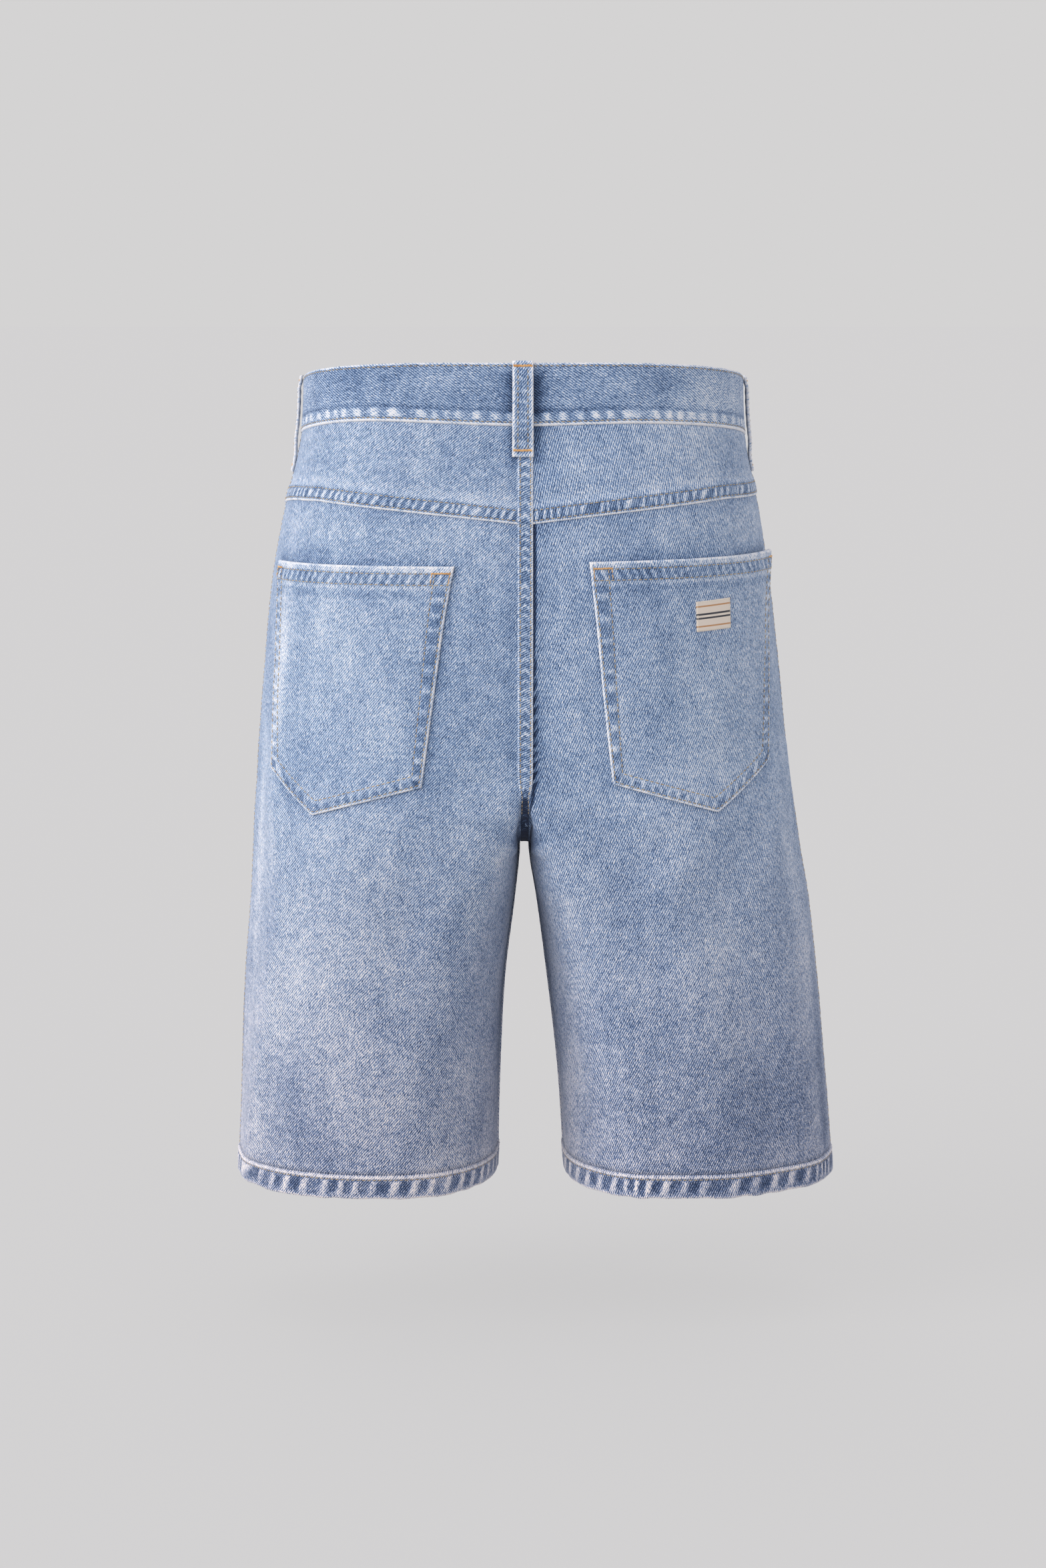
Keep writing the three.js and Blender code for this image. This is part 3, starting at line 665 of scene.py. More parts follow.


# Fading and painted shade: lighter where the cloth stands out and rubs, darker beside what lies on it.
# Some patches are painted shade: darker down the right leg's outer side and lower leg, away from the light, and
# by the seat seam, the insides of the thighs and the back loop.
# side, arc from the outseam, z, reach across, reach down, amount
fadingAndShading = [
    (1, 150, -110, 60, 26, 0.10),
    (1, 215, -190, 34, 60, -0.14),
    (1, 205, -108, 40, 16, -0.16),
    (1, 120, -200, 60, 70, 0.14),
    (1, 67, -200, 9, 80, 0.75),
    (1, 40, -330, 12, 90, 0.22),
    (1, 20, -470, 20, 90, 0.16),
    (1, 42, -300, 7, 60, 0.48),
    (1, 120, -380, 70, 70, 0.19),
    (1, 200, -400, 30, 90, -0.10),
    (1, 130, -500, 70, 30, -0.04),
    (-1, 215, -200, 34, 60, 0.04),
    (-1, 150, -105, 60, 26, -0.08),
    (-1, 120, -200, 60, 70, 0.15),
    (-1, 60, -330, 10, 80, 0.12),
    (-1, 45, -430, 10, 90, 0.16),
    (-1, 30, -480, 14, 80, -0.50),
    (-1, 110, -500, 90, 70, -0.32),
    (-1, 195, -20, 45, 16, -0.22),
    (-1, 110, -20, 60, 20, 0.30),
    (1, 222, -20, 18, 14, -0.10),
    (1, 100, -20, 60, 20, 0.10),
    (-1, 190, -390, 20, 90, -0.12),
    (-1, 130, -390, 60, 80, 0.02),
    (1, -120, -330, 60, 110, 0.24),
    (-1, -120, -330, 60, 110, 0.22),
    (1, -60, -480, 60, 60, 0.05),
    (-1, -60, -480, 60, 60, 0.05),
]


def wornAndShaded(side, arc, z):
    # Sum of the patches of fading and painted shade, and of soft cloudy wear
    total = np.zeros(np.broadcast(arc, z).shape)
    for patchSide, patchArc, patchZ, across, down, amount in fadingAndShading:
        if patchSide == side:
            total += amount * np.exp(-(((arc - patchArc) / across) ** 2) - ((z - patchZ) / down) ** 2)
    u = arc + (700 if side > 0 else 0)
    return total + 0.10 * noise(u, z * 0.5, 26, 11) + 0.10 * noise(u * 1.6, z * 0.25, 11, 12)


def puckers(along, across, pitch, lean, seed, wander=0.5):
    # Ridges across a sewn band: a wave whose spacing and height wander along it
    phase = along / pitch + wander * noise(along, 0, pitch * 2.3, seed) + lean * across / pitch
    size = 0.85 + 0.3 * noise(along, 0, pitch * 1.7, seed + 1)
    return np.sin(2 * math.pi * phase) * size


def sewnIn(distance, rows):
    # 1 along rows of stitching, which draw the cloth down into grooves; where it darkens the colour, that is
    # unworn indigo together with painted shade in the groove
    return sum(bell(distance - row, 0.75) for row in rows)


def band(distance, low, high, soft):
    # 1 between low and high, falling to 0 over soft on both sides
    return smooth(low - soft, low + soft, distance) * fall(high - soft, high + soft, distance)


# Patch pockets, in the flat: arc from the outseam and z
pocketTables = {
    1: {
        "innerTop": (193.4, -119.0), "innerLow": (184.0, -265.0), "point": (109.0, -287.0),
        "outerLow": (65.3, -259.0), "outerTop": (48.3, -120.0), "cornerLift": 1.0,
    },
    -1: {
        "innerTop": (193.4, -116.0), "innerLow": (193.0, -263.0), "point": (124.0, -284.0),
        "outerLow": (70.0, -253.0), "outerTop": (36.0, -114.0), "cornerLift": 3.5,
    },
}
pocket = {
    "lift": 1.7,
    "wall": 1.0,
    "rows": 116,
    "cols": 108,
    "edgeStitch": 2.0,
    "innerTopInset": 12.0,
    "innerLowInset": 7.0,
    "outerInset": 8.5,
    "topRows": (5.0, 12.3),
    "depth": 146,
    "cornerReach": 32,
    "grainTilt": 4,
    "puckerPitch": 6.2,
}


def pocketOutline(side):
    # The pocket's five corners, from the inner top round to the outer top
    table = pocketTables[side]
    return [np.array(table[k]) for k in ("innerTop", "innerLow", "point", "outerLow", "outerTop")]


def lineDistance(u, v, start, end):
    # Signed distance to the line through two points, positive to its right as seen from start
    du, dv = end[0] - start[0], end[1] - start[1]
    length = math.hypot(du, dv)
    return ((u - start[0]) * dv - (v - start[1]) * du) / length


def pocketEdges(side, arc, z):
    # Distances inwards from the pocket's edges: top, inner side, two foot edges, outer side
    it, il, pt, ol, ot = pocketOutline(side)
    sign = 1 if lineDistance(*(0.5 * (it + ol)), ot, it) > 0 else -1
    pairs = [(ot, it), (it, il), (il, pt), (pt, ol), (ol, ot)]
    return [sign * lineDistance(arc, z, a, b) for a, b in pairs]


def pocketFace(side, arc, z, lift=0.0):
    # The pocket's outer face over the panel: edges folded and thick, puckered between the rows
    table = pocketTables[side]
    top, inner, footA, footB, outer = pocketEdges(side, arc, z)
    sides = np.minimum(np.minimum(inner, outer), np.minimum(footA, footB))
    edge = np.minimum(sides, top)
    away = np.hypot(arc - table["outerTop"][0], z - table["outerTop"][1])
    height = pocket["lift"] + table["cornerLift"] * bell(away, pocket["cornerReach"])
    rounded = 0.9 * fall(0.0, 1.3, edge) ** 2
    hemmed = band(top, 0.5, 13.0, 1.2)
    height = height - rounded + 0.5 * hemmed + 0.35 * fall(6.0, 9.5, sides)
    along = arc * 0.3 + z
    waveTop = puckers(arc, top, pocket["puckerPitch"], 0.4, 21 + side)
    waveSide = puckers(along, inner, 12.0, 0.25, 31 + side)
    waveFoot = puckers(arc, footA, pocket["puckerPitch"], 0.35, 41 + side)
    inTop = band(top, 5.4, 12.0, 0.7) * smooth(0.5, 3, sides)
    down = np.clip((table["innerTop"][1] - z) / pocket["depth"], 0, 1)
    innerInset = mix(pocket["innerTopInset"], pocket["innerLowInset"], down)
    belowHem = smooth(12.5, 14, top)
    inSide = band(inner, 2.6, innerInset - 0.8, 0.9) * belowHem
    inFoot = band(np.minimum(footA, footB), 2.6, pocket["innerLowInset"] - 0.6, 0.6) * belowHem
    inOuter = band(outer, 2.4, pocket["outerInset"] - 1, 0.8) * belowHem
    waveOuter = puckers(z, outer, 9.0, 0.2, 51 + side)
    height = height + 0.22 * (waveTop * inTop + waveSide * inSide + waveFoot * inFoot + waveOuter * inOuter)
    sunk = sewnIn(top, pocket["topRows"]) + sewnIn(sides, (pocket["edgeStitch"],)) * smooth(1, 3, top)
    sunk = sunk + sewnIn(inner, (innerInset,)) * belowHem
    height = height - 0.3 * sunk
    point, out = surface(side, placeAt(side, arc, z), z, height + lift)

    # Darker in the stitch grooves: unworn indigo and painted shade
    fadeAndShade = wornAndShaded(side, arc, z) - 0.35 * sunk
    worn = 0.75 + 0.5 * noise(arc + z, arc - z, 5.0, 61)
    fadeAndShade = fadeAndShade + 1.5 * worn * fall(0.7, 1.9, edge) + 0.65 * worn * band(top, 1.0, 4.2, 0.8)
    fadeAndShade = fadeAndShade + inTop * (-0.5 + 1.1 * smooth(-0.2, 1.0, waveTop))
    fadeAndShade = fadeAndShade + inSide * (-0.5 + 0.9 * smooth(0.0, 1.0, waveSide))
    fadeAndShade = fadeAndShade + inFoot * (-0.5 + 1.05 * smooth(-0.1, 1.0, waveFoot))
    fadeAndShade = fadeAndShade + inOuter * (-0.4 + 0.9 * smooth(0.0, 1.0, waveOuter))
    fadeAndShade = fadeAndShade + 0.28 * band(top, 13.0, 15.5, 1.0) - 0.22 * band(top, 16.5, 21, 2.0)
    return point, out, fadeAndShade


def pocketGrid(side, across, down):
    # Shares across (from the centre outwards) and down, on the pocket's own outline
    it, il, pt, ol, ot = pocketOutline(side)
    middle = (il[0] - pt[0]) / (il[0] - ol[0])
    first = across < middle
    t = np.where(first, across / middle, (across - middle) / (1 - middle))[..., None]
    foot = np.where(first[..., None], mix(il, pt, t), mix(pt, ol, t))
    top = mix(it, ot, across[..., None])
    place = mix(top, foot, down[..., None])
    return place[..., 0], place[..., 1]


def unwornAndShadedBesidePocket(side, arc, z):
    # Painted shadow round a back pocket on the panel under it, together with the unworn cloth there
    top, inner, footA, footB, outer = pocketEdges(side, arc, z)
    outward = -np.minimum(np.minimum(np.minimum(inner, outer), np.minimum(footA, footB)), top)
    near = np.exp(-np.maximum(outward, 0) / 4.0) * (outward > -6)
    above = (top < 0) & (top > -40)
    return -0.34 * near - 0.12 * above * np.exp(-np.maximum(outward, 0) / 12.0)


# Threads
sewing = {
    "stitch": 2.9,
    "gap": 0.75,
    "radius": 0.31,
    "sides": 6,
    "rings": 4,
}
threadRuns = {"tan": [], "gold": [], "cream": []}


def addThreads(colour, start, end, out, radius=None, arch=0.14):
    # Each thread is a short closed tube from start to end that bows outwards
    radius = radius or sewing["radius"]
    count, rings, sides = len(start), sewing["rings"], sewing["sides"]
    t = np.linspace(0, 1, rings)
    bow = np.sin(math.pi * t)
    centre = start[:, None] + (end - start)[:, None] * t[None, :, None]
    centre = centre + out[:, None] * ((bow * (arch + radius * 0.6) - radius * 0.45)[None, :, None])
    along = (end - start) / np.linalg.norm(end - start, axis=1, keepdims=True)
    aside = np.cross(along, out)
    aside /= np.linalg.norm(aside, axis=1, keepdims=True)
    up = np.cross(aside, along)
    angle = np.arange(sides) * 2 * math.pi / sides
    thick = radius * (0.45 + 0.55 * bow**0.5)
    c, s = np.cos(angle)[:, None], np.sin(angle)[:, None]
    ring = c * aside[:, None, None] + s * up[:, None, None]
    points = centre[:, :, None] + ring * thick[None, :, None, None]
    threadRuns[colour].append(points.reshape(count, rings * sides, 3))


def stitchFaces(count):
    # Faces of one thread's tube with its two end caps, repeated for all threads
    rings, sides = sewing["rings"], sewing["sides"]
    i, k = np.meshgrid(np.arange(rings - 1), np.arange(sides), indexing="ij")
    i, k = i.ravel(), k.ravel()
    n = (k + 1) % sides
    tube = np.stack([i * sides + k, (i + 1) * sides + k, (i + 1) * sides + n, i * sides + n], 1)
    end = (rings - 1) * sides
    low = np.array([[0, 1, 2, 3], [0, 3, 4, 5]])
    high = end + np.array([[0, 3, 2, 1], [0, 5, 4, 3]])
    one = np.concatenate([tube, low, high])
    return (one[None] + (np.arange(count) * rings * sides)[:, None, None]).reshape(-1, 4)


def sew(colour, face, stitch=None, gap=None, radius=None):
    # A row of stitches along a face: its points on the cloth and its directions outwards
    points, out = face[:2]
    stitch, gap = stitch or sewing["stitch"], gap or sewing["gap"]
    run = np.concatenate([[0], np.cumsum(np.linalg.norm(np.diff(points, axis=0), axis=1))])
    count = max(int(run[-1] // (stitch + gap)), 1)
    pitch = run[-1] / count
    starts = np.arange(count) * pitch
    ends = starts + pitch * stitch / (stitch + gap)

    def at(values, s):
        return np.stack([np.interp(s, run, values[:, k]) for k in range(3)], 1)

    direction = at(out, (starts + ends) / 2)
    direction /= np.linalg.norm(direction, axis=1, keepdims=True)
    addThreads(colour, at(points, starts), at(points, ends), direction, radius)


def bartack(face, width=2.0, colour="gold"):
    # Close zigzag over a short path: threads lie across it, side by side
    points, out = face[:2]
    run = np.concatenate([[0], np.cumsum(np.linalg.norm(np.diff(points, axis=0), axis=1))])
    s = np.arange(0.2, run[-1], 0.52)
    middle = np.stack([np.interp(s, run, points[:, k]) for k in range(3)], 1)
    normal = np.stack([np.interp(s, run, out[:, k]) for k in range(3)], 1)
    normal /= np.linalg.norm(normal, axis=1, keepdims=True)
    along = np.gradient(middle, axis=0)
    along /= np.linalg.norm(along, axis=1, keepdims=True)
    aside = np.cross(along, normal)
    jitter = 0.25 * noise(s, 0, 0.7, 77)[:, None]
    start = middle - aside * (width / 2 + jitter) - along * 0.2
    end = middle + aside * (width / 2 - jitter) + along * 0.2
    addThreads(colour, start, end, normal, 0.3, 0.35)


def straight(start, end, count=60):
    # Evenly spaced points from start to end
    t = np.linspace(0, 1, count)
    return mix(start[0], end[0], t), mix(start[1], end[1], t)


def pathThrough(places, step=1.5):
    # Points along a broken line in the flat
    parts = []
    for a, b in zip(places[:-1], places[1:]):
        count = max(int(math.dist(a, b) / step), 2)
        t = np.linspace(0, 1, count, endpoint=False)[:, None]
        parts.append(mix(np.array(a)[None], np.array(b)[None], t))
    parts.append(np.array(places[-1])[None])
    joined = np.concatenate(parts)
    return joined[:, 0], joined[:, 1]


def offsetLine(start, end, inStart, inEnd, inwards):
    # A segment moved inwards by one amount at its start and another at its end
    start, end = np.array(start), np.array(end)
    along = (end - start) / np.linalg.norm(end - start)
    normal = np.array([along[1], -along[0]])
    if normal @ (np.array(inwards) - start) < 0:
        normal = -normal
    return start + normal * inStart, end + normal * inEnd


def crossing(first, second):
    # Where two lines cross: a + (b - a) s = c + (d - c) t, solved for s
    (a, b), (c, d) = first, second
    m = np.array([b - a, c - d]).T
    t = np.linalg.solve(m, c - a)
    return a + (b - a) * t[0]


def makePocket(side):
    # The patch pocket over its outline, with its rows of stitches
    half = halfName[side]
    down, across = np.meshgrid(crowd(pocket["rows"], 0.6), crowd(pocket["cols"], 0.55), indexing="ij")
    arc, z = pocketGrid(side, across, down)
    point, out, fadeAndShade = pocketFace(side, arc, z)
    uv = turned(side * arc + 37, z, side * pocket["grainTilt"])
    piece = shell("pocket_" + half, point, point - out * pocket["wall"], uv, fadeAndShade, cloth)
    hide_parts("back_pocket_" + half)

    it, il, pt, ol, ot = pocketOutline(side)
    middle = (it + il + ol + ot) / 4
    e = pocket["edgeStitch"]
    inTop, inLow = pocket["innerTopInset"], pocket["innerLowInset"]

    def row(innerTop, innerLow, foot, outer, topFrom):
        lines = [offsetLine(it, il, innerTop, innerLow, middle), offsetLine(il, pt, foot, foot, middle),
                 offsetLine(pt, ol, foot, foot, middle), offsetLine(ol, ot, outer, outer, middle)]
        topLine = offsetLine(ot, it, topFrom, topFrom, middle)
        return [crossing(topLine, lines[0]), crossing(lines[0], lines[1]), crossing(lines[1], lines[2]),
                crossing(lines[2], lines[3]), crossing(lines[3], topLine)]

    for places in (row(e, e, e, e, 3.0), row(inTop, inLow, inLow + e, pocket["outerInset"], 5.0)):
        u, v = pathThrough(places)
        sew("tan", pocketFace(side, u, v))
    for drop in pocket["topRows"]:
        u, v = pathThrough(offsetLine(it, ot, drop, drop, middle))
        u, v = u[1:-1], v[1:-1]
        sew("tan", pocketFace(side, u, v))
    # Each top corner is held by a bartack with a short leg down from both its ends
    for corner, other, reach in ((it, ot, 14.5), (ot, it, 9.0)):
        toOther = (other - corner) / np.linalg.norm(other - corner)
        inner = offsetLine(corner, other, 4.6, 4.6, middle)[0]
        u, v = straight(inner + toOther * 1.8, inner + toOther * reach, 30)
        bartack(pocketFace(side, u, v), 1.25)
        for along in (2.2, reach - 0.4) if reach > 10 else (2.2,):
            u, v = straight(inner + toOther * along, inner + toOther * along + (0, -7.5), 12)
            sew("gold", pocketFace(side, u, v), 2.2, 0.4)


# Panels
panel = {
    "rowsBelow": 64,
    "rowsAbove": 96,
    "cols": 100,
    "turned": 0.5,
    "foot": hemZ + hemDrop + 0.3,
    "scoopDrop": 78,
    "scoopShare": 0.5,
    "backTilt": 6,  # of the grain, in degrees
    "frontTilt": -4,
}


def legRowZ(f, t, topZ, height, scoop=0.0):
    # Rows from the hem, 0, to the crotch, 1, and the top seam, 2, turning under near the centre
    near = f**3
    down = 1 - np.minimum(t, 1)
    low = crotchZ - (crotchZ - panel["foot"]) * mix(down, down**1.8, near)
    up = np.maximum(t - 1, 0)
    turning = math.pi / 2 * np.minimum(up / panel["turned"], 1)
    high = np.maximum(up - panel["turned"], 0) / (1 - panel["turned"])
    centre = crotchZ + height * (1 - np.cos(turning)) + (topZ - crotchZ - height) * high
    if scoop:
        outer = mix(crotchZ, topZ - scoop, np.minimum(up / panel["turned"], 1))
        outer = outer + scoop * (1 - np.cos(math.pi / 2 * high))
    else:
        outer = mix(crotchZ, topZ, up)
    return np.where(t < 1, low, mix(outer, centre, near))


def panelSteps():
    # 0 at the hem, 1 at the crotch, 2 at the top
    below, above = panel["rowsBelow"], panel["rowsAbove"]
    return np.concatenate([np.arange(below) / below, 1 + np.arange(above + 1) / above])


outseam = {"width": 9.0, "rows": (1.9, 8.0), "pitch": 11.0}


def felledSide(side, arc, z):
    # Thick felled band down the outseam: how high it stands and how it is worn
    felled = fall(outseam["width"] - 1.5, outseam["width"] + 1.5, arc)
    wave = puckers(z, arc, outseam["pitch"], 0.3, 61 + side)
    inside = band(arc, 2.3, 7.6, 0.8)
    sunk = sewnIn(arc, outseam["rows"])
    height = 0.55 * felled - 0.5 * fall(0, 1.0, arc) + 0.2 * wave * inside - 0.35 * sunk
    # Darker in the stitch grooves: unworn indigo and painted shade
    fadeAndShade = 0.7 * fall(0.4, 2.0, arc) + inside * (-0.3 + 0.8 * smooth(0.0, 1.0, wave)) - 0.3 * sunk
    return height, fadeAndShade


def backFace(side, g, z):
    # The back panel: felled side, unworn cloth and painted shade round the pocket, painted shade beside the seam
    # and between the thighs, light under the yoke
    arc = arcAt(side, g, z)
    height, worn = felledSide(side, arc, z)
    point, out = surface(side, g, z, height)
    fadeAndShade = wornAndShaded(side, arc, z) + unwornAndShadedBesidePocket(side, arc, z) + worn
    centre = seamDistance(side, 1, g, z)
    # Painted shade along both sides of the seat seam
    fadeAndShade = fadeAndShade - 0.26 * bell(centre - 8, 7) * smooth(-330, -300, z)
    # Painted shadow line just past the seam strip's right edge
    if side < 0:
        fadeAndShade = fadeAndShade - 1.9 * band(centre, 4.9, 6.9, 0.4)
    # Painted shade on the insides of the thighs, dark between the legs below the crotch
    cleftShade = bell(np.maximum(centre - 30, 0), 14) * fall(-317, -280, z)
    fadeAndShade = fadeAndShade - 1.0 * cleftShade * smooth(-560, -325, z)
    fromYoke = yokeZ(side, np.abs(g)) - z
    # Painted shadow with unworn cloth just under the yoke's edge, lighter cloth further down
    fadeAndShade = fadeAndShade - 0.20 * np.exp(-np.maximum(fromYoke, 0) / 5.0) * (z > -130) + 0.16 * band(fromYoke, 5, 30, 8)
    return point, out, fadeAndShade


def makeBack(side):
    # The back panel from the hem to the yoke, with the outseam's two rows
    half = halfName[side]
    t, s = np.meshgrid(panelSteps(), crowd(panel["cols"], 0.5), indexing="ij")
    z = legRowZ(s, t, yokeZ(side, s) + 1.0, form["riseBack"])
    point, out, fadeAndShade = backFace(side, s, z)
    uv = turned(side * arcAt(side, s, z), z, side * panel["backTilt"])
    piece = shell("back_panel_" + half, point, point - out * form["cloth"], uv, fadeAndShade, cloth)
    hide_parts("back_" + half)
    for inset in outseam["rows"]:
        zs = np.linspace(hemZ + hemDrop + 2, yokeZ(side, 0) - 2, 260)
        gs = placeAt(side, np.full_like(zs, inset), zs)
        sew("tan", backFace(side, gs, zs))


yokes = {
    "sideZ": {1: -77.5, -1: -76.0},  # lower edge at the side and at the seat seam
    "seatZ": -91.0,
    "lap": 1.2,
    "wall": 1.0,
    "rows": (2.1, 8.9),
    "pitch": 6.0,
    "rowsUp": 46,
    "cols": 200,
    "grainTilt": {1: 12, -1: -10},
}


def yokeHeight(side, g, z):
    # Distance above the yoke's lower edge, and how high its sewn band stands
    edge = z - yokeZ(side, np.abs(g)) + yokes["lap"]
    return edge, 0.25 + 1.0 * fall(9.5, 13.5, edge) - 0.75 * fall(0, 1.1, edge) ** 2


def yokeFace(side, g, z):
    # The yoke: a sewn band on its lower edge, puckered between two sunk rows, worn white at the fold
    edge, height = yokeHeight(side, g, z)
    arc = arcAt(side, g, z)
    wave = puckers(side * arc, edge, yokes["pitch"], -0.3, 71 + side, 0.7)
    sewn = band(edge, 2.5, 8.1, 0.5)
    sideHeight, sideWorn = felledSide(side, arc, z)
    height = height + 0.2 * wave * sewn + sideHeight
    sunk = sewnIn(edge, yokes["rows"])
    height = height - 0.28 * sunk
    point, out = surface(side, g, z, height)
    # Darker in the stitch grooves: unworn indigo and painted shade
    fadeAndShade = wornAndShaded(side, arc, z) + sideWorn + 0.04 - 0.75 * sunk
    worn = 0.8 + 0.4 * noise(arc, z, 6.0, 62)
    fadeAndShade = fadeAndShade + 1.7 * worn * fall(0.8, 1.7, edge) + 0.2 * band(edge, 9.8, 17, 2.5)
    fadeAndShade = fadeAndShade + sewn * worn * (-0.75 + 1.75 * smooth(-0.2, 0.9, wave))
    centre = seamDistance(side, 1, g, z)
    # Painted shade along the seat seam, and round the tail of the back loop
    fadeAndShade = fadeAndShade - 0.22 * bell(centre - 7, 5)
    fadeAndShade = fadeAndShade - 0.75 * bell(np.maximum(centre - 6, 0), 5) * smooth(-56, -47, z)
    return point, out, fadeAndShade


def makeYoke(side):
    # The yoke between its lower edge and the waistband's seam, its rows closer at the low edge
    half = halfName[side]
    f = crowd(yokes["cols"], 0.4)[None]
    up = np.linspace(0, 1, yokes["rowsUp"])[:, None] ** 1.35
    low = yokeZ(side, f) - yokes["lap"]
    high = seamOf(waistSeamZ, side, f) - 0.1
    f, z = np.broadcast_arrays(f, mix(low, high, up))
    point, out, fadeAndShade = yokeFace(side, f, z)
    uv = turned(side * arcAt(side, f, z), z, yokes["grainTilt"][side])
    piece = shell("back_yoke_" + half, point, point - out * yokes["wall"], uv, fadeAndShade, cloth)
    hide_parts("yoke_" + half)
    for row in yokes["rows"]:
        g = np.linspace(0.01, 0.98, 260)
        sew("tan", yokeFace(side, g, yokeZ(side, g) - yokes["lap"] + row))
    for row in outseam["rows"]:
        zs = np.linspace(yokeZ(side, 0) + 1, seamOf(waistSeamZ, side, np.zeros(1))[0] - 1, 40)
        sew("tan", yokeFace(side, placeAt(side, np.full_like(zs, row), zs), zs))


# Seams that run over both halves: c is the distance across from the seam, positive to the left half
centreSeam = {"left": 4.8, "right": 5.2, "rows": (3.2, -3.6), "ridge": -4.5, "pitch": 6.5, "wall": 0.6}
inseam = {"half": 4.6, "pitch": 9, "wall": 0.6}


def centreFace(end, c, z):
    # end is +1 for the back seam and -1 for the front seam; it narrows in the cleft
    g = fromSeam(1, end, c * (1 - 0.5 * cleftAt(z)), z)
    under = 0
    if end > 0:
        under = yokeHeight(1, np.minimum(np.abs(g), 1), z)[1] * smooth(0, 1.5, z - yokes["seatZ"] + yokes["lap"])
    wave = puckers(z, np.abs(c), centreSeam["pitch"], 0.9, 81)
    inside = band(c, centreSeam["rows"][1] + 0.8, centreSeam["rows"][0] - 0.8, 0.5)
    edge = np.minimum(centreSeam["left"] - c, c + centreSeam["right"])
    ridge = bell(c - centreSeam["ridge"], 0.8)
    height = under + 0.75 - 0.55 * fall(0, 0.9, edge) + 0.16 * wave * inside + 0.35 * ridge
    point, out = surface(1, g, z, height * (1 - 0.5 * cleftAt(z)))
    sunk = sewnIn(c, centreSeam["rows"])
    # Darker in the stitch grooves: unworn indigo and painted shade
    fadeAndShade = 0.02 + 0.9 * ridge + 0.5 * fall(0.3, 1.0, edge) - 0.35 * sunk
    # The strip is painted dark below z -264: painted shade where the seam runs under the crotch between the
    # thighs
    fadeAndShade = fadeAndShade + inside * (-0.5 + 1.1 * smooth(0.0, 1.0, wave)) - 2.0 * smooth(-264, -280, z)
    return point, out, fadeAndShade


def makeCentreSeam(end):
    # A strip down the centre, straight and then under the crotch, where a cosine spaces its rows
    rise = form["riseBack"] if end > 0 else form["riseFront"]
    top = waistSeamZ(0, 118) - 0.3 if end > 0 else -172
    angle = np.linspace(math.pi / 2, 0.12, 60)[1:]
    straightRows = np.linspace(top, crotchZ + rise, 220 if end > 0 else 100)
    zs = np.concatenate([straightRows, crotchZ + rise * (1 - np.cos(angle))])
    c = np.linspace(centreSeam["left"], -centreSeam["right"], 19)
    cc, zz = np.broadcast_arrays(c[None], zs[:, None])
    point, out, fadeAndShade = centreFace(end, cc, zz)
    uv = turned(-cc, zz, 30)
    name = "seat_seam" if end > 0 else "front_rise_seam"
    piece = shell(name, point, point - out * centreSeam["wall"], uv, fadeAndShade, cloth)
    for row in centreSeam["rows"]:
        z = zs[(zs > -285) & (zs < top - 1)]
        sew("tan", centreFace(end, np.full_like(z, row), z))


def makeInseam(side):
    # The felled seam inside the leg, where back and front panels meet below the crotch
    zs = np.linspace(hemZ + hemDrop + 0.6, crotchZ - 3, 160)[:, None]
    c = np.linspace(inseam["half"], -inseam["half"], 15)[None]
    cc, zz = np.broadcast_arrays(c, zs)
    g = fromSeam(side, 1, cc, zz)
    edge = inseam["half"] - np.abs(cc)
    wave = puckers(zz, cc, inseam["pitch"], 0.4, 86 + side)
    height = 0.75 - 0.6 * fall(0, 1.0, edge) + 0.12 * wave * (edge > 2)
    point, out = surface(side, g, zz, height)
    fadeAndShade = 0.55 * fall(0.3, 1.3, edge) - 0.12
    half = halfName[side]
    uv = turned(side * cc, zz, 0)
    piece = shell("inseam_" + half, point, point - out * inseam["wall"], uv, fadeAndShade, cloth)


# Front, which the photograph doesn't show: a plain jeans front
front = {"edgeRows": (1.9, 7.8), "flyWidth": 35.0, "flyDrop": 142.0, "flyLap": 3.0, "flyTurn": 48.0}
facing = {"under": 1.7, "below": 20, "wall": 0.9}


def scoopDistance(side, f, z, top):
    # Distance from the hand pocket's oval edge, positive on the panel
    length = np.abs(arcAt(side, np.full_like(f, -1.0), z))
    u = f / panel["scoopShare"]
    v = np.maximum(top - z, 0) / panel["scoopDrop"]
    q = np.hypot(u, v) + 1e-6
    slope = np.hypot(u / (panel["scoopShare"] * length), v / panel["scoopDrop"]) / q
    return (q - 1) / slope


def frontFace(side, f, z):
    # The front panel: turned edge of the hand pocket, and the fly, which laps left over right
    top = seamOf(waistSeamZ, side, -f)
    edge = scoopDistance(side, f, z, top)
    c = seamDistance(side, -1, -f, z)
    fly = smooth(-182, -170, z)
    height = 0.35 * fall(8.5, 11, edge) - 0.7 * fall(0, 1.2, edge) ** 2 * (edge < 20)
    if side > 0:
        height = height + fly * (0.75 * fall(30, 44, c) - 0.5 * fall(-3.0, -1.8, c) ** 2)
    else:
        height = height - fly * 0.55 * fall(8, 20, c)
    inside = band(edge, 2.4, 7.2, 0.6)
    point, out = surface(side, -f, z, height)
    fadeAndShade = wornAndShaded(side, arcAt(side, -f, z), z) + 0.9 * fall(0.4, 1.7, edge) - 0.12 * inside
    # Painted shade along the front seam
    fadeAndShade = fadeAndShade - 0.15 * bell(c, 8)
    if side > 0:
        fadeAndShade = fadeAndShade + fly * (0.7 * fall(-2.4, -1.2, c) - 0.18 * band(c, 28, 38, 2))
    return point, out, fadeAndShade


